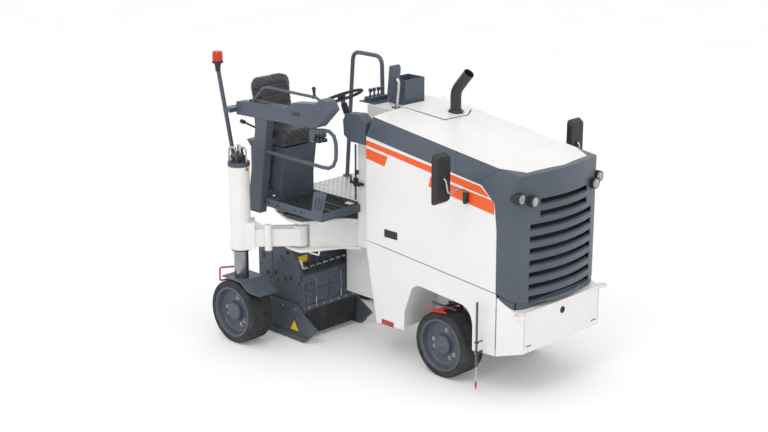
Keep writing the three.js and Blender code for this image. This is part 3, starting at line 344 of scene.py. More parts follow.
@dataclass(frozen=True)
class Metal(Finish):
    """Bare or plated metal with fine drawn lines along one axis."""

    lines: Point = (40, 40, 2)
    relief: float = 0.00006
    cloud: float = 0.15

    def paint(self, shader: Shader) -> None:
        """Builds the metal."""
        streak = shader.noise(30, 5, self.lines)
        shader.set(Base_Color=self.mottle(shader, 12, 5, (1 - self.cloud, 1 + self.cloud * 0.7)), Metallic=1.0,
                   Roughness=shader.span(streak, (0.3, 0.7), (self.roughness * 0.8, self.roughness * 1.35)))
        shader.bump(streak, self.relief, 0.8)


@dataclass(frozen=True)
class Iron(Finish):
    """Cast or forged iron under a thin dark coat: rough skin with faint brown bloom and bright edges."""

    bloom: float = 0.25
    coarse: float = 0.0009

    def paint(self, shader: Shader) -> None:
        """Builds the iron."""
        tone = self.mottle(shader, 16, 6, (0.75, 1.4), MIDDLE)
        rust = shader.mix(shader.varied(30, 8, (0, self.bloom), (0.55, 0.75)), tone, (0.12, 0.075, 0.05))
        edge = shader.span(shader.edges(), (0.53, 0.62), (0, 0.5))
        shader.set(Base_Color=shader.mix(edge, rust, (0.28, 0.28, 0.29)), Metallic=0.35,
                   Roughness=shader.varied(50, 4, (self.roughness - 0.1, self.roughness + 0.15)))
        shader.bump(shader.noise(260, 5), self.coarse * 0.4, 0.7)
        shader.bump(shader.noise(40, 4), self.coarse, 0.4)


@dataclass(frozen=True)
class Plastic(Finish):
    """Moulded plastic with a fine eroded grain."""

    grain: float = 900.0
    depth: float = 0.00012

    def paint(self, shader: Shader) -> None:
        """Builds the plastic."""
        tone = self.mottle(shader, 14, 5, (0.85, 1.25))
        shader.set(Base_Color=tone,
                   Roughness=shader.varied(25, 4, (self.roughness - 0.05, self.roughness + 0.1)))
        shader.bump(shader.cells(self.grain), self.depth, 0.7)


@dataclass(frozen=True)
class Leatherette(Finish):
    """Coated fabric: pebbled grain, soft creases and a little sheen."""

    def paint(self, shader: Shader) -> None:
        """Builds the cover."""
        tone = self.mottle(shader, 18, 6, (0.8, 1.3))
        pebble = shader.cells(520)
        shader.set(Base_Color=shader.mix(shader.span(pebble, (0.0, 0.12), (0.35, 0)), tone, (0.01, 0.01, 0.011)),
                   Roughness=shader.varied(30, 3, (0.42, 0.58)),
                   Sheen_Weight=0.12, Sheen_Roughness=0.4)
        shader.bump(pebble, 0.0005, 0.6)
        shader.bump(shader.noise(34, 5), 0.0016, 0.35)


@dataclass(frozen=True)
class Lens(Finish):
    """Clear or tinted moulding that light passes through, with fine optical ribs."""

    passing: float = 0.85
    ribs: float = 420.0

    def paint(self, shader: Shader) -> None:
        """Builds the moulding."""
        ribs = self.rib_wave(shader)
        shader.set(Base_Color=self.mottle(shader, 20, 4, (0.9, 1.05), MIDDLE),
                   Roughness=shader.varied(40, 3, (self.roughness, self.roughness + 0.06)),
                   Transmission_Weight=self.passing, IOR=1.45)
        shader.bump(ribs, 0.0006, 0.5)

    def rib_wave(self, shader: Shader) -> Socket:
        """Sine ribs across the moulding."""
        wave = shader.node("ShaderNodeTexWave", {"bands_direction": "Y"}, Vector=shader.coords,
                           Scale=self.ribs / 6.28, Distortion=0.0)
        return wave.outputs[1]


@dataclass(frozen=True)
class Reflector(Finish):
    """Prismatic retroreflector under a glossy face."""

    def paint(self, shader: Shader) -> None:
        """Builds the reflector."""
        cells = shader.cells(260)
        dark, light = self.tones(0.6, 1.25)
        shader.set(Base_Color=shader.mix(shader.span(cells, (0.0, 0.5), (0, 1)), light, dark),
                   Roughness=shader.varied(60, 3, (0.16, 0.26)), Coat_Weight=0.8)
        shader.bump(cells, 0.0005, 0.6)


@dataclass(frozen=True)
class Screen(Finish):
    """Dark display glass with a faint smeared reflection and a slightly lighter middle."""

    def paint(self, shader: Shader) -> None:
        """Builds the glass."""
        shader.set(Base_Color=self.mottle(shader, 9, 2, (0.5, 1.6), MIDDLE),
                   Roughness=shader.varied(24, 5, (0.06, 0.2)), Coat_Weight=0.5)
        shader.bump(shader.noise(15, 2), 0.0002, 0.3)


WHITE = Paint("white_coat", Slot.WHITE, (0.875, 0.865, 0.85), 0.38, dust=0.1, wear=0.1, cloud=0.02)
SLATE = Paint("slate_coat", Slot.SLATE, (0.07, 0.088, 0.118), 0.42, dust=0.16, wear=0.2, cloud=0.08)
ORANGE = Paint("orange_stripe", Slot.WHITE, (0.93, 0.115, 0.008), 0.4, dust=0.02, wear=0.0, cloud=0.02)
RED = Paint("red_coat", Slot.SLATE, (0.66, 0.03, 0.016), 0.36, dust=0.12, wear=0.1, cloud=0.06)
YELLOW = Paint("yellow_plate", Slot.SLATE, (0.9, 0.6, 0.02), 0.4, dust=0.08, wear=0.06, cloud=0.03)
# Near-black for dark joints, the grille wire and the pedestal strip, and painted shade in the latch and console
# pockets and the bracket slots.
SEAM_AND_SHADE = Paint("seam_shadow", Slot.SLATE, (0.03, 0.034, 0.042), 0.6, dust=0.1, wear=0.0, cloud=0.1)
BLACK = Paint("black_coat", Slot.IRON, (0.022, 0.023, 0.026), 0.4, dust=0.18, wear=0.35, cloud=0.1)
TYRE = Rubber("solid_tyre", Slot.TYRE, (0.029, 0.029, 0.032), 0.72, dust=0.2)
SKIRT = Rubber("skirt_sheet", Slot.SHEET, (0.026, 0.026, 0.029), 0.66, dust=0.2)
# Dark rubber for the tow eye ring, boots and hoses, and painted shade behind the grille and under the footwell grid.
SEAL_AND_SHADE = Rubber("edge_seal_and_shade", Slot.SHEET, (0.018, 0.018, 0.02), 0.6, dust=0.12)
CHROME = Metal("ground_chrome", Slot.CHROME, (0.36, 0.37, 0.39), 0.16)
STEEL = Metal("plated_steel", Slot.CHROME, (0.6, 0.6, 0.58), 0.3, lines=(8, 8, 8))
ZINC = Metal("zinc_bolts", Slot.CHROME, (0.52, 0.51, 0.47), 0.38, lines=(12, 12, 12))
GLASS_BACK = Metal("mirror_face", Slot.CHROME, (0.8, 0.81, 0.82), 0.05, lines=(3, 3, 3))
TREAD = Metal("checker_aluminium", Slot.TREAD, (0.8, 0.8, 0.79), 0.36, lines=(2, 40, 20), relief=0.0001, cloud=0.05)
PLATE = Metal("floor_aluminium", Slot.TREAD, (0.56, 0.56, 0.56), 0.45, lines=(2, 40, 20), relief=0.0001, cloud=0.06)
IRON = Iron("dark_iron", Slot.IRON, (0.035, 0.037, 0.041), 0.5)
CAST = Iron("cast_block", Slot.IRON, (0.05, 0.052, 0.057), 0.6, bloom=0.35, coarse=0.0016)
PLASTIC = Plastic("black_moulding", Slot.PLASTIC, (0.021, 0.022, 0.025), 0.42)
GRIP = Plastic("soft_grip", Slot.PLASTIC, (0.016, 0.016, 0.018), 0.6, grain=500.0, depth=0.0003)
COVER = Leatherette("seat_leatherette", Slot.SEAT, (0.034, 0.034, 0.038), 0.5)
CLEAR = Lens("lamp_glass", Slot.PLASTIC, (0.93, 0.94, 0.95), 0.04)
AMBER = Lens("amber_lens", Slot.PLASTIC, (0.9, 0.26, 0.02), 0.1, passing=0.35)
BEACON = Lens("beacon_dome", Slot.PLASTIC, (0.85, 0.06, 0.02), 0.12, passing=0.3)
PRISM = Reflector("red_reflector", Slot.PLASTIC, (0.62, 0.035, 0.012), 0.2)
DISPLAY = Screen("display_glass", Slot.PLASTIC, (0.012, 0.015, 0.02), 0.1)


# ---------------------------------------------------------------- mesh tools


def finish_piece(piece: Piece, finish: Finish, body: str, *stands_for: str) -> Piece:
    """Dresses a piece and puts it on its body.

    Args:
        piece: an object whose place is in its mesh.
        finish: its surface.
        body: the CAD body it rides on.
        stands_for: CAD nodes it replaces.

    Returns:
        The piece.
    """
    piece.data.materials.clear()
    piece.data.materials.append(finish.material())
    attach(piece, body)
    if stands_for:
        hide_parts(*stands_for)
    return piece


def link(name: str, mesh: bpy.types.Mesh) -> Piece:
    """Object of that name in the scene, holding the mesh."""
    made = bpy.data.objects.new(name, mesh)
    bpy.context.scene.collection.objects.link(made)
    return made


def rounded(piece: Piece, width: float, segments: int = 2, angle: float = 24.0) -> None:
    """Gives a piece small live round edges and flat faces between them.

    Args:
        piece: the piece.
        width: width of the rounding in millimetres.
        segments: steps across it.
        angle: edges bent by more degrees than this are rounded.
    """
    piece.data.shade_smooth()
    bevel = piece.modifiers.new("edges", "BEVEL")
    bevel.width = width * MM
    bevel.segments = segments
    bevel.limit_method = "ANGLE"
    bevel.angle_limit = math.radians(angle)
    bevel.use_clamp_overlap = False
    bevel.miter_outer = "MITER_ARC"
    weighted = piece.modifiers.new("shading", "WEIGHTED_NORMAL")
    weighted.weight = 60
    weighted.keep_sharp = True


def bend(points: Sequence[Point], radius: float, steps: int = 8) -> list[Vector]:
    """Rounds the corners of a route.

    Args:
        points: the route's corners.
        radius: bend radius at each inner corner.
        steps: points along each bend.

    Returns:
        Points of the rounded route.
    """
    corners = [Vector(p) for p in points]
    route = [corners[0]]
    for before, corner, after in zip(corners, corners[1:], corners[2:]):
        to_before, to_after = (before - corner).normalized(), (after - corner).normalized()
        opening = to_before.angle(to_after)
        reach = min(radius / math.tan(opening / 2), (before - corner).length * 0.48, (after - corner).length * 0.48)
        start, end = corner + to_before * reach, corner + to_after * reach
        for i in range(steps + 1):
            t = i / steps
            route.append(start * (1 - t) ** 2 + corner * 2 * t * (1 - t) + end * t ** 2)
    route.append(corners[-1])
    return route


def around(steps: int) -> list[float]:
    """Equal steps of a full turn, in radians."""
    return [2 * math.pi * i / steps for i in range(steps)]


class Shape:
    """Closed shells gathered for one piece, in station millimetres."""

    def __init__(self) -> None:
        """Starts with no shells."""
        self.points: list[Vector] = []
        self.faces: list[tuple[int, ...]] = []

    def shell(self, points: Sequence[Vector], faces: Sequence[tuple[int, ...]]) -> "Shape":
        """Adds one closed shell."""
        first = len(self.points)
        self.points += [Vector(p) for p in points]
        self.faces += [tuple(first + i for i in face) for face in faces]
        return self

    def loft(self, rows: Sequence[Sequence[Vector]], closed: bool = False) -> "Shape":
        """Adds a skin over sections with equal numbers of points.

        Args:
            rows: the sections in order.
            closed: whether the last section joins the first; if not, both ends are capped.

        Returns:
            This shape.
        """
        count = len(rows[0])
        faces: list[tuple[int, ...]] = []
        for row in range(len(rows) if closed else len(rows) - 1):
            a, b = row * count, (row + 1) % len(rows) * count
            faces += [(a + j, a + (j + 1) % count, b + (j + 1) % count, b + j) for j in range(count)]
        if not closed:
            last = (len(rows) - 1) * count
            faces += [tuple(reversed(range(count))), tuple(range(last, last + count))]
        return self.shell([point for row in rows for point in row], faces)

    def prism(self, axis: str, low: float, high: float, outline: Sequence[Pair], draft: float = 0.0) -> "Shape":
        """Adds an outline drawn along an axis.

        Args:
            axis: x takes (y, z) pairs, y takes (x, z) and z takes (x, y).
            low: start along the axis.
            high: end along it.
            outline: corners in order.
            draft: how far the high end's outline draws in towards its middle, in millimetres.

        Returns:
            This shape.
        """
        place = {"x": lambda a, u, v: (a, u, v),
                 "y": lambda a, u, v: (u, a, v),
                 "z": lambda a, u, v: (u, v, a)}[axis]
        count = len(outline)
        middle = Vector((sum(p[0] for p in outline) / count, sum(p[1] for p in outline) / count))
        ends = []
        for level, inset in ((low, 0.0), (high, draft)):
            ends.append([])
            for pair in outline:
                out = Vector(pair) - middle
                scale = 1 - inset / out.length if inset and out.length else 1
                drawn = middle + out * scale
                ends[-1].append(Vector(place(level, drawn.x, drawn.y)))
        return self.loft(ends)

    def box(self, low: Point, high: Point) -> "Shape":
        """Adds a box between two corners."""
        outline = [(low[0], low[1]), (high[0], low[1]), (high[0], high[1]), (low[0], high[1])]
        return self.prism("z", low[2], high[2], outline)

    def lathe(self, profile: Sequence[Pair], centre: Point, axis: Point, steps: int = ROUND_STEPS) -> "Shape":
        """Adds a turned shell.

        Args:
            profile: (along, radius) pairs; with no zero radius at its ends it closes on itself.
            centre: where along = 0.
            axis: direction of the turning axis.
            steps: facets round it.

        Returns:
            This shape.
        """
        way = Vector(axis).normalized()
        side = way.orthogonal().normalized()
        other = way.cross(side)
        points: list[Vector] = []
        rings: list[list[int]] = []
        for along, radius in profile:
            spot = Vector(centre) + way * along
            if radius <= 0:
                rings.append([len(points)])
                points.append(spot)
                continue
            rings.append(list(range(len(points), len(points) + steps)))
            points += [spot + (side * math.cos(turn) + other * math.sin(turn)) * radius for turn in around(steps)]
        pairs = list(zip(rings, rings[1:]))
        if len(rings[0]) > 1 and len(rings[-1]) > 1:
            pairs.append((rings[-1], rings[0]))
        faces: list[tuple[int, ...]] = []
        for a, b in pairs:
            for i in range(steps):
                j = (i + 1) % steps
                if len(a) == 1:
                    faces.append((a[0], b[i], b[j]))
                elif len(b) == 1:
                    faces.append((a[i], b[0], a[j]))
                else:
                    faces.append((a[i], b[i], b[j], a[j]))
        return self.shell(points, faces)

    def rod(self, start: Point, end: Point, radius: float, edge: float = 1.5, steps: int = 24) -> "Shape":
        """Adds a round bar with small edge chamfers, from one point to another."""
        length = (Vector(end) - Vector(start)).length
        profile = [(0, 0), (0, radius - edge), (edge, radius), (length - edge, radius), (length, radius - edge),
                   (length, 0)]
        return self.lathe(profile, start, tuple(Vector(end) - Vector(start)), steps)

    def tube(self, route: Sequence[Vector], radius: float, steps: int = 20, wall: float = 0.0) -> "Shape":
        """Adds a round bar that follows a route.

        Args:
            route: points in order.
            radius: outer radius.
            steps: facets round it.
            wall: wall thickness of an open pipe end, or 0 for solid ends.

        Returns:
            This shape.
        """
        spots = [Vector(p) for p in route]
        way = (spots[1] - spots[0]).normalized()
        side = way.orthogonal().normalized()
        radii = [(spot, radius) for spot in spots]
        if wall:
            depth = min(len(spots) - 1, 6)
            radii += [(spots[-1], radius - wall)] + [(spots[-1 - i], radius - wall) for i in range(1, depth)]
        rows: list[list[Vector]] = []
        for index, (spot, size) in enumerate(radii):
            along = min(index, len(spots) - 1) if index < len(spots) else len(spots) - 1 - (index - len(spots))
            ahead = spots[min(along + 1, len(spots) - 1)] - spots[max(along - 1, 0)]
            turned = way.rotation_difference(ahead.normalized())
            side = turned @ side
            way = ahead.normalized()
            other = way.cross(side)
            rows.append([spot + (side * math.cos(turn) + other * math.sin(turn)) * size for turn in around(steps)])
        return self.loft(rows)

    def mesh(self, name: str) -> bpy.types.Mesh:
        """The shells as one mesh in the frame, faces outward."""
        made = bpy.data.meshes.new(name)
        made.from_pydata([at(*p) for p in self.points], [], self.faces)
        work = bmesh.new()
        work.from_mesh(made)
        bmesh.ops.recalc_face_normals(work, faces=work.faces[:])
        work.to_mesh(made)
        work.free()
        return made

    def piece(self, name: str, finish: Finish, body: str, *stands_for: str, edge: float = 0.0,
              smooth: float = 35.0, segments: int = 2) -> Piece:
        """Makes the finished piece.

        Args:
            name: the piece's name.
            finish: its surface.
            body: the CAD body it rides on.
            stands_for: CAD nodes it replaces.
            edge: width of live edge rounding in millimetres, or 0.
            smooth: faces that meet within this many degrees shade as one.
            segments: steps across a rounded edge.

        Returns:
            The piece.
        """
        made = link(name, self.mesh(name))
        if edge:
            rounded(made, edge, segments)
        else:
            made.data.shade_smooth()
            made.data.set_sharp_from_angle(angle=math.radians(smooth))
        log.info("piece %s on %s", name, body)
        return finish_piece(made, finish, body, *stands_for)


def refined(node: str, finish: Finish, body: str, edge: float = 3.0, angle: float = 24.0, segments: int = 2,
            zone: tuple[Finish, Point, Point] | None = None) -> Piece:
    """Replaces a CAD node by a copy of it with whole faces and rounded edges.

    Args:
        node: the CAD node.
        finish: its surface.
        body: the CAD body it rides on.
        edge: width of the rounding in millimetres.
        angle: edges bent by more degrees than this are rounded.
        segments: steps across a rounded edge.
        zone: a second finish and the box, in station millimetres, whose faces take it.

    Returns:
        The new piece.
    """
    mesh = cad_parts[node].data.copy()
    mesh.name = node + "_form"
    if "custom_normal" in mesh.attributes:
        mesh.attributes.remove(mesh.attributes["custom_normal"])
    work = bmesh.new()
    work.from_mesh(mesh)
    bmesh.ops.remove_doubles(work, verts=work.verts[:], dist=0.00002)
    bmesh.ops.dissolve_limit(work, angle_limit=math.radians(0.8), verts=work.verts[:], edges=work.edges[:])
    bmesh.ops.dissolve_degenerate(work, edges=work.edges[:], dist=0.00005)
    for edge_item in work.edges:
        edge_item.smooth = True
    work.to_mesh(mesh)
    work.free()
    made = link(node + "_form", mesh)
    rounded(made, edge, segments, angle)
    log.info("refined %s on %s", node, body)
    finish_piece(made, finish, body, node)
    if zone:
        second, low, high = zone
        made.data.materials.append(second.material())
        lowest, highest = at(*low), at(*high)
        for face in made.data.polygons:
            inside = all(lowest[i] <= face.center[i] <= highest[i] for i in range(3))
            face.material_index = int(inside)
    return made


# ---------------------------------------------------------------- repeating pieces


class Head(Enum):
    """Shapes that a scatter places on its points."""

    HEX = "hex_bolts"
    DOME = "domed_nuts"
    PICK = "cutting_picks"
    STUD = "small_studs"


class Tree(Wiring):
    """A geometry node tree with named size inputs."""

    def __init__(self, name: str, **sizes: float) -> None:
        """Starts the tree.

        Args:
            name: the tree's name.
            sizes: its inputs and their default values; a whole number makes an integer input.
        """
        super().__init__(bpy.data.node_groups.new(name, "GeometryNodeTree"))
        face = self.tree.interface
        face.new_socket("Geometry", in_out="INPUT", socket_type="NodeSocketGeometry")
        face.new_socket("Geometry", in_out="OUTPUT", socket_type="NodeSocketGeometry")
        self.identifiers: dict[str, str] = {}
        for label, value in sizes.items():
            kind = "NodeSocketInt" if isinstance(value, int) else "NodeSocketFloat"
            socket = face.new_socket(label, in_out="INPUT", socket_type=kind)
            socket.default_value = value
            self.identifiers[label] = socket.identifier
        self.entry = self.tree.nodes.new("NodeGroupInput")
        self.exit = self.tree.nodes.new("NodeGroupOutput")

    def size(self, label: str) -> Socket:
        """The named size input."""
        return self.entry.outputs[label]

    def vector(self, x: object = 0.0, y: object = 0.0, z: object = 0.0) -> Socket:
        """Vector from three values."""
        return self.node("ShaderNodeCombineXYZ", X=x, Y=y, Z=z).outputs[0]

    def moved(self, geometry: Socket, offset: Socket,
              scale: Point = (1, 1, 1), turn: Point = (0, 0, 0)) -> Socket:
        """Geometry turned, scaled and moved."""
        made = self.node("GeometryNodeTransform", Geometry=geometry, Translation=offset, Rotation=turn, Scale=scale)
        return made.outputs[0]

    def cylinder(self, sides: int, radius: object, depth: object, low: object) -> Socket:
        """Upright cylinder that starts at a height."""
        made = self.node("GeometryNodeMeshCylinder", Vertices=sides, Radius=radius, Depth=depth)
        return self.moved(made.outputs["Mesh"], self.vector(z=self.math("ADD", low, self.product(depth, 0.5))))

    def joined(self, *parts: Socket) -> Socket:
        """Several geometries as one."""
        return self.node("GeometryNodeJoinGeometry", Geometry=list(reversed(parts))).outputs[0]

    def close(self, geometry: Socket, finish: Finish) -> None:
        """Ends the tree: real mesh with the finish's material."""
        real = self.node("GeometryNodeRealizeInstances", Geometry=geometry)
        dressed = self.node("GeometryNodeSetMaterial", Geometry=real.outputs[0], Material=finish.material())
        self.feed(self.exit.inputs[0], dressed.outputs[0])

    def bake(self, carrier: Piece, **sizes: float) -> Piece:
        """Runs the tree on an object and keeps its result as a plain mesh.

        Args:
            carrier: the object that the tree starts from.
            sizes: values for the named inputs.

        Returns:
            The same object with the new mesh.
        """
        runner = carrier.modifiers.new("repeat", "NODES")
        runner.node_group = self.tree
        for label, value in sizes.items():
            runner[self.identifiers[label]] = value
        graph = bpy.context.evaluated_depsgraph_get()
        mesh = bpy.data.meshes.new_from_object(carrier.evaluated_get(graph))
        mesh.name = carrier.name
        carrier.modifiers.remove(runner)
        carrier.data = mesh
        bpy.data.node_groups.remove(self.tree)
        return carrier


def scatter_tree(head: Head, finish: Finish) -> Tree:
    """Tree that stands a head on every point, along the point's facing.

    Args:
        head: what is placed.
        finish: its surface.

    Returns:
        The tree, with inputs Radius, Height and Seed.
    """
    tree = Tree(head.value, Radius=0.006, Height=0.004, Seed=7)
    radius, height = tree.size("Radius"), tree.size("Height")
    wide = tree.product(radius, 1.5)
    if head is Head.HEX:
        low = tree.product(height, 0.25)
        cone = tree.node("GeometryNodeMeshCone", Vertices=6, Radius_Top=tree.product(radius, 0.72),
                         Radius_Bottom=radius, Depth=tree.product(height, 0.25))
        shape = tree.joined(tree.cylinder(18, wide, low, 0.0), tree.cylinder(6, radius, height, low),
                            tree.moved(cone.outputs["Mesh"], tree.vector(z=tree.product(height, 1.25))))
    elif head is Head.DOME:
        ball = tree.node("GeometryNodeMeshUVSphere", Segments=16, Rings=8, Radius=tree.product(radius, 0.82))
        shape = tree.joined(tree.cylinder(20, wide, tree.product(height, 0.3), 0.0),
                            tree.cylinder(6, radius, height, 0.0),
                            tree.moved(ball.outputs["Mesh"], tree.vector(z=height), scale=(1, 1, 0.7)))
    elif head is Head.PICK:
        cone = tree.node("GeometryNodeMeshCone", Vertices=14, Radius_Top=tree.product(radius, 0.12),
                         Radius_Bottom=tree.product(radius, 0.62), Depth=tree.product(height, 0.55))
        shape = tree.joined(tree.cylinder(8, wide, tree.product(height, 0.4), 0.0),
                            tree.cylinder(14, radius, tree.product(height, 0.5), 0.0),
                            tree.moved(cone.outputs["Mesh"], tree.vector(z=tree.product(height, 0.5))))
    else:
        ball = tree.node("GeometryNodeMeshUVSphere", Segments=12, Rings=6, Radius=radius)
        shape = tree.moved(ball.outputs["Mesh"], tree.vector(), scale=(1, 1, 0.55))
    facing = tree.node("GeometryNodeInputNamedAttribute", {"data_type": "FLOAT_VECTOR"}, Name="facing")
    stood = tree.node("FunctionNodeAlignRotationToVector", {"axis": "Z"}, Vector=facing.outputs["Attribute"])
    chance = tree.node("FunctionNodeRandomValue", {"data_type": "FLOAT"}, Min=0.0, Max=6.283, Seed=tree.size("Seed"))
    spin = tree.node("FunctionNodeEulerToRotation", Euler=tree.vector(z=chance.outputs[1]))
    turned = tree.node("FunctionNodeRotateRotation", {"rotation_space": "LOCAL"},
                       Rotation=stood.outputs[0], Rotate_By=spin.outputs[0])
    placed = tree.node("GeometryNodeInstanceOnPoints", Points=tree.entry.outputs[0], Instance=shape,
                       Rotation=turned.outputs[0])
    tree.close(placed.outputs[0], finish)
    return tree


def scattered(name: str, head: Head, finish: Finish, body: str, spots: Sequence[tuple[Point, Point]],
              radius: float, height: float) -> Piece:
    """Makes one piece of many equal heads.

    Args:
        name: the piece's name.
        head: what is placed.
        finish: its surface.
        body: the CAD body it rides on.
        spots: (station, outward direction) of each head.
        radius: head radius in millimetres.
        height: head height in millimetres.

    Returns:
        The piece.
    """
    mesh = bpy.data.meshes.new(name)
    mesh.from_pydata([at(*spot) for spot, _ in spots], [], [])
    facing = mesh.attributes.new("facing", "FLOAT_VECTOR", "POINT")
    for item, (_, way) in zip(facing.data, spots):
        item.vector = Vector(way).normalized()
    made = scatter_tree(head, finish).bake(link(name, mesh), Radius=radius * MM, Height=height * MM)
    if head in (Head.DOME, Head.STUD):
        made.data.shade_smooth()
        made.data.set_sharp_from_angle(angle=math.radians(40))
    log.info("piece %s of %d on %s", name, len(spots), body)
    return finish_piece(made, finish, body)


class Cell(Enum):
    """Shapes that a lattice repeats."""

    RING = "perforated_grid"
    LOZENGE = "tread_lozenges"


def lattice(name: str, cell: Cell, finish: Finish, body: str, low: Point, high: Point, pitch: Pair,
            radius: float, depth: float) -> Piece:
    """Fills a level rectangle with two staggered grids of cells.

    Args:
        name: the piece's name.
        cell: what is repeated.
        finish: its surface.
        body: the CAD body it rides on.
        low: lowest corner, in station millimetres.
        high: highest corner; its z is where the cells' middles lie.
        pitch: step of each grid along x and y.
        radius: cell radius.
        depth: bar depth of a ring, or half length of a lozenge.

    Returns:
        The piece.
    """
    columns = int((high[0] - low[0] - 2 * radius - pitch[0] / 2) // pitch[0]) + 1
    rows = int((high[1] - low[1] - 2 * radius - pitch[1] / 2) // pitch[1]) + 1
    tree = Tree(cell.value, Width=0.1, Length=0.1, Columns=2, Rows=2, Shift_X=0.01, Shift_Y=0.01,
                Radius=0.01, Depth=0.01)
    grid = tree.node("GeometryNodeMeshGrid", Size_X=tree.size("Width"), Size_Y=tree.size("Length"),
                     Vertices_X=tree.size("Columns"), Vertices_Y=tree.size("Rows")).outputs["Mesh"]
    other = tree.moved(grid, tree.vector(tree.size("Shift_X"), tree.size("Shift_Y")))
    turns: tuple[Point, Point] = ((0, 0, math.radians(30)), (0, 0, math.radians(30)))
    if cell is Cell.RING:
        circle = tree.node("GeometryNodeCurvePrimitiveCircle", Resolution=6, Radius=tree.size("Radius"))
        section = tree.node("GeometryNodeCurvePrimitiveQuadrilateral", Width=0.0028, Height=tree.size("Depth"))
        shape = tree.node("GeometryNodeCurveToMesh", Curve=circle.outputs[0],
                          Profile_Curve=section.outputs[0]).outputs[0]
    else:
        turns = ((0, 0, math.radians(45)), (0, 0, math.radians(-45)))
        ball = tree.node("GeometryNodeMeshUVSphere", Segments=8, Rings=6, Radius=tree.size("Depth"))
        shape = tree.moved(ball.outputs["Mesh"], tree.vector(), scale=(1, 0.34, 0.17))
    grids = []
    for points, turn in zip((grid, other), turns):
        grids.append(tree.node("GeometryNodeInstanceOnPoints", Points=points, Instance=shape,
                               Rotation=turn).outputs[0])
    tree.close(tree.joined(*grids), finish)
    made = tree.bake(link(name, bpy.data.meshes.new(name)), Width=(columns - 1) * pitch[0] * MM,
                     Length=(rows - 1) * pitch[1] * MM, Columns=columns, Rows=rows, Shift_X=pitch[0] / 2 * MM,
                     Shift_Y=pitch[1] / 2 * MM, Radius=radius * MM, Depth=depth * MM)
    centre = at((low[0] + high[0]) / 2 - pitch[0] / 4, (low[1] + high[1]) / 2 - pitch[1] / 4, high[2])
    made.data.transform(Matrix.Translation(centre))
    if cell is Cell.LOZENGE:
        made.data.shade_smooth()
    log.info("piece %s, %d by %d cells, on %s", name, columns, rows, body)
    return finish_piece(made, finish, body)


def woven_wire(name: str, finish: Finish, body: str, x: float, half: float, low: float, high: float,
               pitch: float, wire: float) -> Piece:
    """Makes an upright square wire mesh across the body.

    Args:
        name: the piece's name.
        finish: its surface.
        body: the CAD body it rides on.
        x: station of the mesh.
        half: half its width.
        low: its lower edge.
        high: its upper edge.
        pitch: spacing of the wires.
        wire: wire thickness.

    Returns:
        The piece.
    """
    tree = Tree("woven_wire", Pitch=0.01, Wire=0.001, Across=0.5, Tall=0.5, Uprights=2, Levels=2)
    sets = []
    wire_size, pitch_size = tree.size("Wire"), tree.size("Pitch")
    for count, upright in (("Uprights", True), ("Levels", False)):
        step = tree.vector(y=pitch_size) if upright else tree.vector(z=pitch_size)
        line = tree.node("GeometryNodeMeshLine", Count=tree.size(count), Offset=step).outputs[0]
        size = (tree.vector(wire_size, wire_size, tree.size("Tall")) if upright
                else tree.vector(wire_size, tree.size("Across"), wire_size))
        bar = tree.node("GeometryNodeMeshCube", Size=size).outputs["Mesh"]
        half_span = (tree.vector(z=tree.product(tree.size("Tall"), 0.5)) if upright
                     else tree.vector(wire_size, tree.product(tree.size("Across"), 0.5)))
        sets.append(tree.node("GeometryNodeInstanceOnPoints", Points=line,
                              Instance=tree.moved(bar, half_span)).outputs[0])
    tree.close(tree.joined(*sets), finish)
    made = tree.bake(link(name, bpy.data.meshes.new(name)), Pitch=pitch * MM, Wire=wire * MM, Across=2 * half * MM,
                     Tall=(high - low) * MM, Uprights=int(2 * half / pitch) + 1, Levels=int((high - low) / pitch) + 1)
    made.data.transform(Matrix.Translation(at(x, -half, low)))
    log.info("piece %s on %s", name, body)
    return finish_piece(made, finish, body)


# ---------------------------------------------------------------- sub-assemblies


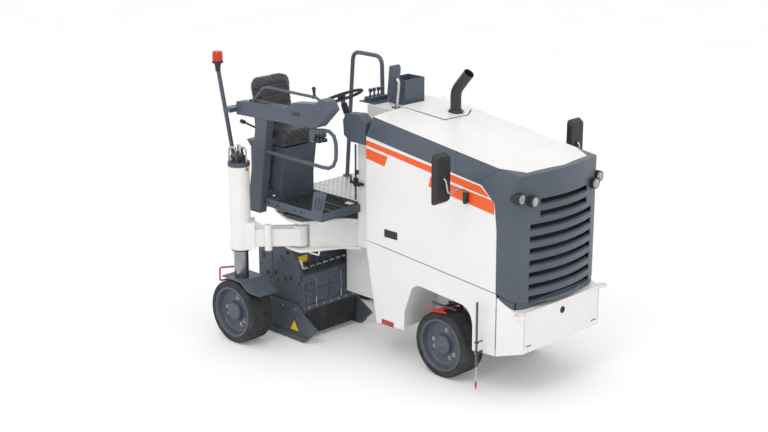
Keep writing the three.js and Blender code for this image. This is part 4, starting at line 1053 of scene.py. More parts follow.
@dataclass
class Wheel:
    """Solid-tyred wheel with a deep dished rim."""

    corner: str
    centre: Point
    outward: int
    radius: float = 290.0
    half_width: float = 125.0
    rim: float = 231.0
    dish: float = 55.0
    hub: float = 84.0
    hub_face: float = 103.0
    nut_ring: float = 130.0
    nuts: tuple[float, ...] = (82.0, -36.0, -64.0, 176.0, 204.0)

    def build(self) -> None:
        """Makes tyre, rim, nuts and hub plugs."""
        body = "wheel_" + self.corner
        axis = (0, self.outward, 0)
        self.tyre().piece(f"tyre_{self.corner}_tread", TYRE, body, "tyre_" + self.corner, smooth=50)
        self.disc().piece(f"rim_{self.corner}_disc", SLATE, body, "rim_" + self.corner, smooth=32)
        x, y, z = self.centre
        spots = []
        for angle in self.nuts:
            turn = math.radians(angle)
            across, up = self.nut_ring * math.cos(turn), self.nut_ring * math.sin(turn)
            spots.append(((x + across, y + self.outward * (self.dish + 0.5), z + up), axis))
        scattered(f"wheel_nuts_{self.corner}", Head.DOME, ZINC, body, spots, 13.5, 14)
        plugs = Shape()
        for side, level in ((-16, -34), (22, -30)):
            spot = (x + side, y + self.outward * (self.hub_face + 0.2), z + level)
            plugs.lathe([(0, 0), (0, 11), (1.4, 10), (1.6, 6), (0.8, 0)], spot, axis, 20)
        plugs.piece(f"hub_plugs_{self.corner}", BLACK, body, smooth=30)

    def tyre(self) -> Shape:
        """Band with rounded shoulders and a moulded ring on each side wall."""
        half, top, low = self.half_width, self.radius, self.rim + 0.6
        side = [(0, low), (1.5, low + 4), (2.0, low + 10), (0.6, low + 12), (0.6, low + 14), (2.2, low + 16),
                (1.4, top - 26), (-0.5, top - 18), (-4, top - 10), (-9, top - 4.5), (-16, top - 1.2), (-26, top)]
        ring_height = 2.4
        left = [(half + a - ring_height, r) for a, r in side]
        right = [(-a, r) for a, r in reversed(left)]
        return Shape().lathe([*left, *right], self.centre, LEFT, FINE_STEPS)

    def disc(self) -> Shape:
        """Rim with rolled lips, dish and a slightly domed hub."""
        half, rim, dish, face = self.half_width, self.rim, self.dish, self.hub_face
        profile = [(face + 1.5, 0), (face + 1.2, 40), (face, self.hub - 12), (face - 4, self.hub - 4),
                   (face - 10, self.hub), (dish + 6, self.hub + 2), (dish + 1, self.hub + 7), (dish, self.hub + 12),
                   (dish, 176), (dish + 2, 186), (dish + 10, 195), (dish + 26, 200), (half - 16, 208),
                   (half - 6, 212),
                   (half - 1.5, 216), (half, 220), (half, rim - 4), (half - 3, rim), (3 - half, rim),
                   (-half, rim - 4),
                   (-half, 220), (4 - half, 217), (dish - 34, 214), (dish - 34, 84), (dish - 34, 0)]
        return Shape().lathe(profile, self.centre, (0, self.outward, 0), FINE_STEPS)


@dataclass
class Hood:
    """Tilting engine hood with its stripes, grille, lamps and mirrors."""

    half: float = PANEL_HALF
    rear: float = -862.0
    hip: float = 1969.0
    top: float = 2128.0
    fall: float = HOOD_FALL
    inset: float = 86.0
    crown: float = 26.0
    slots: int = 9
    full_slots: int = 7
    slot_halves: Pair = (388.0, 296.0)
    slot_low: float = 838.0
    slot_pitch: float = 101.0
    rib_count: int = 9
    rib_first: float = -40.0
    rib_pitch: float = 52.0
    lamp_spots: tuple[Point, ...] = ((850.0, 394.0, 1694.0), (806.0, 502.0, 1726.0))
    mirror_y: float = 855.0
    body: str = "hood"

    def hip_height(self, x: float) -> float:
        """Height of the side's upper edge at a station."""
        return self.hip - self.fall * (x - self.rear)

    def band_point(self, side: int, x: float, share: float, proud: float) -> Vector:
        """Point on the sloping band.

        Args:
            side: 1 for the left and -1 for the right.
            x: station along the hood.
            share: 0 at the lower edge and 1 at the upper.
            proud: distance out of the surface.

        Returns:
            The point, in station millimetres.
        """
        rise = self.top - self.hip
        out = Vector((0, side * rise, self.inset)).normalized()
        return Vector((x, side * (self.half - self.inset * share), self.hip_height(x) + rise * share)) + out * proud

    def build(self) -> None:
        """Makes every hood piece."""
        for name in ("right", "left"):
            refined(f"hood_side_{name}", WHITE, self.body, 2.5)
        refined("hood_top", WHITE, self.body, 2.5, 30)
        refined("hood_band_grille", SLATE, self.body, 3.0, 26)
        for name, side in (("right", -1), ("left", 1)):
            self.stripes(name, side)
            self.handle(name, side)
            self.hatch(name, side)
            self.lamps(name, side)
            self.mirror(name, side)
        woven_wire("grille_mesh", SEAM_AND_SHADE, self.body, 772, 470, 800, 1740, 9.5, 1.6)
        # Near-black slab behind the grille: painted shade of the space behind the slots and wire.
        Shape().box((752, -500, 790), (764, 500, 1750)).piece("grille_backing_shade", SEAL_AND_SHADE, self.body, edge=2.0)
        self.ribs()
        self.blades()
        self.lip_bolts()

    def blades(self) -> None:
        """Leaning blades along the lower edge of each grille slot."""
        blades, section, steps = Shape(), ((-3, 0), (-24, 10), (-24, 7), (-8, -1)), 16
        for i in range(self.slots):
            low = self.slot_low + self.slot_pitch * i
            half = self.slot_halves[0 if i < self.full_slots else 1]
            rows = []
            for step in range(steps + 1):
                y = -half + 2 * half * step / steps
                face = 806 + 64 * (1 - (y / 410) ** 2)
                rows.append([Vector((face + dx, y, low + dz)) for dx, dz in section])
            blades.loft(rows)
        blades.piece("grille_blades", SLATE, self.body, smooth=30)

    def lid_height(self, x: float, y: float) -> float:
        """Height of the crowned lid at a station."""
        return self.top + self.crown * (1 - (y / (self.half - self.inset)) ** 2) - self.fall * (x - self.rear)

    def ribs(self) -> None:
        """Low pressed ribs that run along the lid."""
        ribs = Shape()
        section = ((-12, -2), (-9, 0.6), (-4, 3.2), (4, 3.2), (9, 0.6), (12, -2))
        stations = [-400, -392, -380, *range(-340, 220, 40), 228, 240, 248]
        for i in range(self.rib_count):
            y = self.rib_first + self.rib_pitch * i
            rows = []
            for x in stations:
                end = min(1.0, (x - stations[0]) / 20, (stations[-1] - x) / 20)
                rows.append([])
                for across, rise in section:
                    level = self.lid_height(x, y + across) + (rise * end if rise > 0 else rise)
                    rows[-1].append(Vector((x, y + across * (0.6 + 0.4 * end), level)))
            ribs.loft(rows)
        ribs.piece("lid_ribs", WHITE, self.body, smooth=60)

    def stripes(self, name: str, side: int) -> None:
        """Two slanting stripes on one side, the lower one with a bare stretch."""
        upper = [(-861, 1890), (-861, 1936), (437, 1779), (470, 1757), (540, 1702), (520, 1703)]
        flag = [(-861, 1774), (-861, 1866), (-602, 1832), (-640, 1743)]
        lower = [(-127, 1668), (-107, 1757), (556, 1688), (581, 1668), (590, 1650), (590, 1571)]
        stripes = Shape()
        for outline in (upper, flag, lower):
            stripes.prism("y", side * self.half, side * (self.half + 0.7), outline)
        stripes.piece(f"stripes_{name}", ORANGE, self.body)

    def handle(self, name: str, side: int) -> None:
        """Sunken latch: rim, its paddle and a near-black plate painted in as the shade of the pocket."""
        y = side * self.half
        rim, pocket_shade = Shape(), Shape()
        x, z, wall = (-640, -486), (1121, 1189), 7
        for low, high in (((x[0], z[0]), (x[1], z[0] + wall)), ((x[0], z[1] - wall), (x[1], z[1])),
                          ((x[0], z[0] + wall), (x[0] + wall, z[1] - wall)),
                          ((x[1] - wall, z[0] + wall), (x[1], z[1] - wall))):
            rim.box((low[0], y, low[1]), (high[0], y + side * 4, high[1]))
        # Near-black plate barely proud of the side: painted shade of the sunken pocket.
        pocket_shade.box((x[0] + wall, y, z[0] + wall), (x[1] - wall, y + side * 0.9, z[1] - wall))
        rim.box((x[0] + 30, y + side * 0.5, z[0] + 22), (x[1] - 30, y + side * 3, z[1] - 24))
        rim.piece(f"latch_rim_{name}", PLASTIC, self.body, edge=1.2)
        pocket_shade.piece(f"latch_pocket_shade_{name}", SEAM_AND_SHADE, self.body)

    def hatch(self, name: str, side: int) -> None:
        """Thin joint round the filler hatch in the band."""
        corners = ((100, 1.0), (140, 0.3), (170, 0.14), (400, 0.14), (440, 0.26), (560, 0.9))
        route = [self.band_point(side, x, share, 0.2) for x, share in corners]
        Shape().tube(bend(route, 22, 5), 1.5, 8).piece(f"hatch_joint_{name}", SEAM_AND_SHADE, self.body)

    def lamps(self, name: str, side: int) -> None:
        """Housings, bowls and glasses of two round lamps on one front corner."""
        holder = "headlights_" + name
        refined(holder, PLASTIC, self.body, 1.5, 30)
        rims, bowls, glasses = Shape(), Shape(), Shape()
        for x, y, z in self.lamp_spots:
            spot = (x, side * y, z)
            rims.lathe([(0, 37), (0, 47.5), (-20, 48.5), (-20, 46.4), (0.5, 46.2), (6.5, 46), (7.5, 44), (5.5, 38.5)],
                       spot, AHEAD)
            bowls.lathe([(0.2, 0), (0.2, 38), (1.8, 38), (1.6, 28), (1.1, 14), (2.6, 10), (2.8, 0)], spot, AHEAD)
            glasses.lathe([(3.2, 0), (3.2, 39), (5.2, 40), (9, 31), (11.5, 16), (12, 0)], spot, AHEAD)
        rims.piece(f"lamp_rims_{name}", PLASTIC, self.body, smooth=30)
        bowls.piece(f"lamp_bowls_{name}", STEEL, self.body, smooth=30)
        glasses.piece(f"lamp_glasses_{name}", CLEAR, self.body, smooth=40)

    def mirror(self, name: str, side: int) -> None:
        """Rear-view mirror on a bent arm."""
        low, high, corner = 1650, 2070, 34
        inner, outer = sorted((side * 762, side * 948))
        outline = []
        for cy, cz, start in ((outer - corner, low + corner, -90), (outer - corner, high - corner, 0),
                              (inner + corner, high - corner, 90), (inner + corner, low + corner, 180)):
            for i in range(7):
                turn = math.radians(start + 15 * i)
                outline.append((cy + corner * math.cos(turn), cz + corner * math.sin(turn)))
        shell = Shape().prism("x", 254, 292, outline, 26)
        shell.prism("x", 244, 255, outline)
        clasp = side * self.mirror_y
        tab = [(clasp + dy, z) for dy, z in ((-22, 1800), (22, 1800), (22, 1890), (-22, 1890))]
        shell.prism("x", 284, 300, tab, 4)
        shell.piece(f"mirror_{name}_shell", PLASTIC, self.body, "mirror_" + name, edge=4.0, segments=3)
        middle = ((inner + outer) / 2, (low + high) / 2)
        face = [(middle[0] + (u - middle[0]) * 0.9, middle[1] + (v - middle[1]) * 0.95) for u, v in outline]
        Shape().prism("x", 242.2, 244.4, face).piece(f"mirror_{name}_face", GLASS_BACK, self.body)
        arm = bend([(290, clasp, 1868), (316, clasp, 1850), (322, side * 835, 1745), (318, side * 700, 1752),
                    (304, side * 612, 1728), (302, side * 606, 1690)], 30, 6)
        Shape().tube(arm, 8.5).piece(f"mirror_{name}_arm", STEEL, self.body, smooth=60)
        base = Shape().lathe([(0, 0), (0, 16), (4, 19), (70, 21), (92, 21), (96, 17), (96, 0)],
                             (302, side * 606, 1612), UP, 28)
        base.box((284, side * (self.half + 1), 1630), (320, side * 600, 1690))
        base.piece(f"mirror_{name}_base", PLASTIC, self.body, edge=1.5)

    def lip_bolts(self) -> None:
        """Small bolts along the nose's lower edge."""
        spots = []
        for side in (-1, 1):
            for share in (0.2, 0.5, 0.8):
                x = 640 + 150 * share
                y = self.half - 14 - 95 * share ** 2
                spots.append(((x, side * y, 900 - 60 * share), (0.35 + share * 0.4, side, 0)))
        scattered("nose_bolts", Head.HEX, BLACK, self.body, spots, 6, 3.5)


@dataclass
class Chassis:
    """Fixed body panels, bumper, tower, deck and their small fittings."""

    half: float = PANEL_HALF
    rod_x: float = 490.0
    rod_y: float = -650.0
    pipe: Pair = (-516.0, 173.0)
    body: str = "chassis"

    def build(self) -> None:
        """Makes every fixed panel and fitting."""
        panels = (("lower_body", WHITE, 2.5), ("front_bumper", WHITE, 4.0), ("rear_tower", WHITE, 2.5),
                  ("rear_cover", WHITE, 2.5), ("deck_frame", WHITE, 3.0), ("frame_keel", SLATE, 3.0),
                  ("front_axle", IRON, 3.0), ("engine_block", CAST, 8.0))
        for node, finish, edge in panels:
            refined(node, finish, self.body, edge)
        self.bumper_fittings()
        self.reflectors()
        self.rod()
        self.exhaust()
        self.bolts()

    def bumper_fittings(self) -> None:
        """Rubber ring of the tow eye, the rebate under the hood and the bumper's joints."""
        ring = Shape().lathe([(-10, 16), (-10, 27), (2, 29), (5, 26), (5, 20), (2, 16)], (856, 0, 690), AHEAD)
        ring.piece("tow_eye_ring", SEAL_AND_SHADE, self.body, smooth=40)
        plan = [(646.0, -566.0)]
        for i in range(1, 10):
            t = i / 9
            plan.append(((1 - t) ** 2 * 646 + 2 * t * (1 - t) * 768 + t * t * 794,
                         -((1 - t) ** 2 * 566 + 2 * t * (1 - t) * 548 + t * t * 402)))
        for y in (-320, -220, -110, 0, 110, 220, 320):
            plan.append((794 + 5 * (1 - (y / 402) ** 2), y))
        plan += [(x, -y) for x, y in reversed(plan[:10])]
        low = [Vector((x, y, 771)) for x, y in plan]
        high = [Vector((x, y, 903 - 0.386 * (x - 630))) for x, y in plan]
        Shape().loft([low, high]).piece("hood_rebate", SLATE, self.body, edge=1.5)
        folds = Shape()
        for side in (-1, 1):
            folds.box((632, side * self.half, 432), (635, side * (self.half + 0.6), 800))
            folds.box((855.5, side * 487 - 1, 474), (856.6, side * 487 + 1, 770))
            folds.box((855, side * 430 - 32, 482), (857, side * 430 + 32, 491))
        folds.piece("bumper_joints", SEAM_AND_SHADE, self.body)

    def reflectors(self) -> None:
        """Red reflectors low on the skirts."""
        for name, side in (("right", -1), ("left", 1)):
            y = side * self.half
            lens = [(-669, 320), (-532, 320), (-532, 356), (-669, 356)]
            Shape().prism("y", y, y + side * 5, lens).piece(f"reflector_{name}", PRISM, self.body, edge=1.5)
            base = [(-674, 315), (-527, 315), (-527, 361), (-674, 361)]
            Shape().prism("y", y, y + side * 2.4, base).piece(f"reflector_base_{name}", PRISM, self.body, edge=0.8)

    def rod(self) -> None:
        """Sliding sight rod with its clamp, chrome tail and red point."""
        x, y = self.rod_x, self.rod_y
        tube = Shape().rod((x, y, 262), (x, y, 828), 10.4, 3)
        tube.piece("sight_rod_tube", SLATE, self.body, "sight_rod", smooth=40)
        tail = Shape().rod((x, y, 128), (x, y, 268), 6, 1)
        tail.piece("sight_rod_tail", STEEL, self.body, smooth=40)
        point = Shape().lathe([(0, 0), (14, 7), (52, 10), (62, 9), (66, 6), (66, 0)], (x, y, 61), UP, 28)
        point.lathe([(64, 0), (64, 7.5), (74, 7.5), (76, 5), (76, 0)], (x, y, 61), UP, 28)
        point.piece("sight_rod_point", RED, self.body, smooth=30)
        clamp = Shape()
        for low, high in (((x - 14, y - 14, 372), (x + 14, y + 16, 398)), ((x - 8, y + 14, 378), (x + 8, -581, 392)),
                          ((x - 16, y - 12, 470), (x + 16, y + 14, 482)), ((x - 6, y + 12, 472), (x + 6, -581, 480))):
            clamp.box(low, high)
        clamp.piece("sight_rod_clamp", BLACK, self.body, edge=1.5)
        scattered("sight_rod_screws", Head.HEX, ZINC, self.body, [((x, y - 14, 385), RIGHT)], 5, 4)

    def exhaust(self) -> None:
        """Bent exhaust pipe with its base flange."""
        x, y = self.pipe
        route = bend([(x, y, 1700), (x, y, 2305), (x + 147, y, 2477)], 150, 14)
        pipe = Shape().tube(route, 48, 40, 5)
        pipe.piece("exhaust_bend", BLACK, self.body, "exhaust_pipe", smooth=50)
        flange = Shape().lathe([(0, 52), (0, 70), (3, 72), (9, 72), (10, 62), (22, 57), (24, 52)], (x, y, 2116), UP)
        flange.piece("exhaust_flange", BLACK, self.body, smooth=30)

    def bolts(self) -> None:
        """Panel bolts on cover, tower and deck."""
        cover = []
        for x, y in ((-870, -110), (-700, -92), (-470, -40), (-870, 400), (-700, 405), (-470, 120)):
            z = 2142 + 20 - HOOD_FALL * (x + 862) - abs(y) * 0.012
            cover.append(((x, y, z), (0.13, 0, 1)))
        scattered("cover_bolts", Head.HEX, ZINC, self.body, cover, 6, 3.5)
        tower = [((-1100.4, -436, z), BACK) for z in (930, 1010, 1090, 1330, 1560, 1790)]
        tower += [((-900, -450.4, z), RIGHT) for z in (1340, 1620, 1900)]
        scattered("tower_bolts", Head.HEX, BLACK, self.body, tower, 7, 4)


@dataclass
class Legs:
    """Rear lifting columns, the swing arm and the wheel carriers."""

    right_y: float = -1157.0
    left_y: float = 465.0
    x: float = -1872.0
    cap_low: float = 1660.0
    zone_reach: float = 200.0

    def build(self) -> None:
        """Makes both legs and the arm."""
        refined("swing_arm", WHITE, "swing_arm", 3.0)
        for name, y, body in (("right", self.right_y, "swing_arm"), ("left", self.left_y, "chassis")):
            leg = "leg_" + name
            reach = self.zone_reach
            top = (SLATE, (self.x - reach, y - reach, 1633), (self.x + reach, y + reach, 1800))
            refined("column_" + name, WHITE, body, 3.0, zone=top)
            refined("wheel_carrier_" + name, SLATE, leg, 2.5)
            rod = Shape().lathe([(0, 0), (0, 64), (2, 65), (790, 65), (794, 62), (796, 0)],
                                (self.x, y, 604.5), UP, 64)
            rod.piece(f"lift_rod_{name}_barrel", CHROME, leg, "lift_rod_" + name, smooth=30)
            wiper = Shape().lathe([(-14, 66), (-14, 84), (-8, 88), (0, 88), (0, 66)], (self.x, y, 872), UP, 64)
            wiper.piece(f"rod_wiper_{name}", BLACK, body, smooth=30)
            self.valves(name, y, body)

    def valves(self, name: str, y: float, body: str) -> None:
        """Valve block, fittings and hose stubs on a column's cap."""
        x, z = self.x, self.cap_low
        cap = Shape().lathe([(0, 0), (0, 97), (6, 99), (10, 96), (12, 84), (12, 0)], (x, y, z), UP, 64)
        cap.piece(f"column_cap_{name}", SLATE, body, smooth=30)
        block = Shape().box((x - 64, y - 40, z + 12), (x + 46, y + 42, z + 66))
        block.box((x - 30, y - 70, z + 20), (x + 10, y + 66, z + 58))
        for dx, dy, low, top, radius in ((-34, -20, 88, 132, 17), (20, 20, 88, 118, 14), (26, -30, 60, 104, 11)):
            block.rod((x + dx, y + dy, z + low), (x + dx, y + dy, z + top), radius)
        block.piece(f"valve_block_{name}", BLACK, body, edge=2.0)
        fittings = Shape()
        for dx, dy, low, top in ((-38, 26, 88, 122), (-6, -26, 88, 116), (4, 34, 88, 108), (30, -4, 88, 126),
                                 (-52, 4, 64, 96)):
            fittings.lathe([(0, 0), (0, 9), (8, 10), (14, 10), (16, 8), (top - low, 7.5), (top - low, 0)],
                           (x + dx, y + dy, z + low), UP, 6)
        for dy in (-74, 70):
            fittings.lathe([(0, 0), (0, 11), (10, 11), (12, 9), (24, 9), (24, 0)], (x - 10, y + dy * 0.9, z + 39),
                           (0, 1 if dy > 0 else -1, 0), 6)
        fittings.piece(f"valve_fittings_{name}", STEEL, body, smooth=20)
        braids = Shape()
        for route in (((-38, 26, 116), (-40, 24, 150), (26, -2, 152), (30, -4, 120)),
                      ((-6, -26, 110), (-8, -40, 142), (-66, -52, 132), (-76, -50, 16)),
                      ((4, 34, 104), (10, 40, 138), (66, 30, 120), (74, 24, 16))):
            braids.tube(bend([(x + dx, y + dy, z + dz) for dx, dy, dz in route], 24, 6), 8.5, 14)
        braids.piece(f"valve_braids_{name}", STEEL, body, smooth=60)
        marker = Shape().lathe([(0, 0), (0, 17), (4, 17), (7, 12), (8, 0)], (x + 92, y + 12, 1612), AHEAD, 24)
        marker.piece(f"column_marker_{name}", AMBER, body, smooth=40)
        hoses = Shape()
        for dx, dy, reach in ((-50, 10, 74), (-50, -16, 60), (34, -12, 52)):
            way = 1 if dx > 0 else -1
            hoses.tube(bend([(x + dx, y + dy, z + 44), (x + dx + way * reach * 0.5, y + dy, z + 44),
                             (x + way * 82, y + dy, z + 8), (x + way * 84, y + dy, z + 13)], 26, 6), 7.5, 14)
        hoses.piece(f"valve_hoses_{name}", SEAL_AND_SHADE, body, smooth=60)


@dataclass
class MillingUnit:
    """Drum housing with its fittings, the drum, side plates and scraper."""

    front: float = -1450.0
    right: float = -792.0
    left: float = -142.0
    drum_x: float = -1752.0
    drum_y: float = -467.0
    drum_z: float = 285.0
    helices: int = 3
    picks: int = 16
    pick_pitch: float = 32.0
    pick_turn: float = 34.0
    plate_face: float = -824.0

    def build(self) -> None:
        """Makes the milling unit."""
        for node, finish, body, edge in (("drum_housing", SLATE, "chassis", 2.5),
                                         ("rubber_skirt", SKIRT, "chassis", 1.5),
                                         ("scraper", SLATE, "scraper", 2.5),
                                         ("side_plate_right", SLATE, "side_plate_right", 2.5),
                                         ("side_plate_left", SLATE, "side_plate_left", 2.5)):
            refined(node, finish, body, edge)
        self.drum()
        self.front_fittings()
        self.plates()

    def drum(self) -> None:
        """Drum body and its picks on three helices."""
        centre = (self.drum_x, self.drum_y, self.drum_z)
        shell = Shape().lathe([(-312, 0), (-312, 40), (-266, 40), (-266, 196), (-262, 200), (262, 200), (266, 196),
                               (266, 40), (312, 40), (312, 0)], centre, LEFT, 64)
        shell.piece("drum_shell", IRON, "milling_drum", "milling_drum", smooth=30)
        spots = []
        for start in range(self.helices):
            for i in range(self.picks):
                along = -240 + self.pick_pitch * i
                turn = math.radians(360 / self.helices * start + self.pick_turn * i)
                out = Vector((math.cos(turn), 0, math.sin(turn)))
                spot = Vector(centre) + Vector((0, along, 0)) + out * 198
                lean = Vector((-math.sin(turn), 0, math.cos(turn))) * 0.55
                spots.append((tuple(spot), tuple(out + lean)))
        scattered("drum_picks", Head.PICK, IRON, "milling_drum", spots, 15, 62)

    def front_fittings(self) -> None:
        """Pipe with clamps, ribs, chains and bolted strip on the housing's front."""
        x = self.front
        strip = Shape().box((x, self.right + 10, 284), (x + 12, self.left - 10, 330))
        strip.piece("skirt_strip", SLATE, "chassis", edge=1.5)
        spots = [((x + 12, self.right + 50 + i * 92, 307), AHEAD) for i in range(7)]
        scattered("skirt_bolts", Head.HEX, ZINC, "chassis", spots, 7, 5)
        rail = Shape().box((x, self.right + 6, 440), (x + 10, self.left - 6, 462))
        for y in (-760, -640, -470, -300, -170):
            rail.box((x, y - 5, 330), (x + 9, y + 5, 536))
        rail.piece("housing_ribs", SLATE, "chassis", edge=1.5)
        bolts = [((x + 0.5, y, z), AHEAD) for y in (-775, -158) for z in (360, 420, 490, 530)]
        bolts += [((x + 0.5, y, 522), AHEAD) for y in (-700, -560, -400, -240)]
        scattered("housing_bolts", Head.HEX, BLACK, "chassis", bolts, 7, 5)
        pipe_x, pipe_z = x - 62, 660
        pipe = Shape().tube(bend([(pipe_x - 20, -752, 742), (pipe_x, -752, 690), (pipe_x + 6, -744, pipe_z),
                                  (pipe_x, -690, pipe_z), (pipe_x, -190, pipe_z + 10)], 34, 7), 12, 22)
        pipe.piece("spray_pipe", STEEL, "chassis", smooth=60)
        clamps = Shape()
        for y in (-680, -600, -520, -440, -360, -280, -215):
            clamps.lathe([(-9, 12.5), (-9, 18), (9, 18), (9, 12.5)],
                         (pipe_x, y, pipe_z + 5 + (y + 450) * 0.02), LEFT, 20)
            clamps.box((pipe_x - 14, y - 6, pipe_z + 12), (pipe_x - 2, y + 6, pipe_z + 44))
        clamps.piece("spray_clamps", BLACK, "chassis", edge=1.0)
        nozzles = [((pipe_x + 14, y, pipe_z - 2), (1, 0, -0.8)) for y in (-640, -560, -480, -400, -320, -245)]
        scattered("spray_nozzles", Head.DOME, BLACK, "chassis", nozzles, 9, 14)
        for index, y in enumerate((-655, -345)):
            pin = Shape()
            for step in range(9):
                way = LEFT if step % 2 else AHEAD
                pin.lathe([(-1.6, 5), (-1.6, 8), (1.6, 8), (1.6, 5)], (x + 14, y, 560 - step * 17), way, 12)
            pin.rod((x + 14, y, 400), (x + 14, y, 330), 6, 1.5, 14)
            pin.piece(f"pin_chain_{index + 1}", STEEL, "chassis", smooth=40)

    def plates(self) -> None:
        """Blank coloured plates: one in the recess and a bordered triangle on the right side plate."""
        x = self.front - 118
        Shape().box((x, -748, 700), (x + 3, -640, 762)).piece("recess_plate", YELLOW, "chassis", edge=0.8)
        y = self.plate_face
        outer = [(-1622, 76), (-1474, 76), (-1548, 204)]
        inner = [(-1604, 86), (-1492, 86), (-1548, 183)]
        Shape().prism("y", y - 1.2, y, outer).piece("triangle_border", BLACK, "side_plate_right")
        Shape().prism("y", y - 2.0, y - 0.6, inner).piece("triangle_field", YELLOW, "side_plate_right")
        side = [((sx, y - 0.2, sz), RIGHT) for sx, sz in ((-2000, 290), (-1900, 290), (-1700, 290), (-1530, 290))]
        scattered("side_plate_bolts_right", Head.HEX, ZINC, "side_plate_right", side, 8, 5)
        self.flank()

    def flank(self) -> None:
        """Covers, bolts and joints on the housing's right side."""
        y = self.right
        cover = Shape().lathe([(-2, 0), (-2, 46), (3, 46), (4.4, 42), (4.4, 0)], (-1604, y, 435), RIGHT, 40)
        for x, z in ((-1751, 711), (-2010, 694)):
            cover.lathe([(-2, 0), (-2, 30), (10, 30), (13, 26), (13, 0)], (x, y, z), RIGHT, 6)
        cover.box((-1886, y - 4, 500), (-1866, y + 2, 800)).box((-1530, y - 4, 500), (-1478, y + 2, 560))
        cover.piece("housing_covers", SLATE, "chassis", edge=1.5)
        bolts = ((-1697, 540), (-1832, 563), (-1940, 540), (-1504, 530), (-1480, 600), (-1620, 560), (-1940, 780),
                 (-1660, 790))
        screws = ((-1476, 500), (-1476, 560), (-1700, 500), (-1800, 500), (-1900, 500), (-2030, 500), (-2030, 600))
        for name, stations, radius, height in (("bolts", bolts, 13, 8), ("screws", screws, 7, 4)):
            spots = [((x, y - 0.2, z), RIGHT) for x, z in stations]
            scattered("housing_side_" + name, Head.HEX, BLACK, "chassis", spots, radius, height)
        rear = [((-2062.3, y, z), BACK) for y in (-740, -600, -467, -330, -190) for z in (770, 420)]
        scattered("housing_rear_bolts", Head.HEX, BLACK, "chassis", rear, 8, 5)


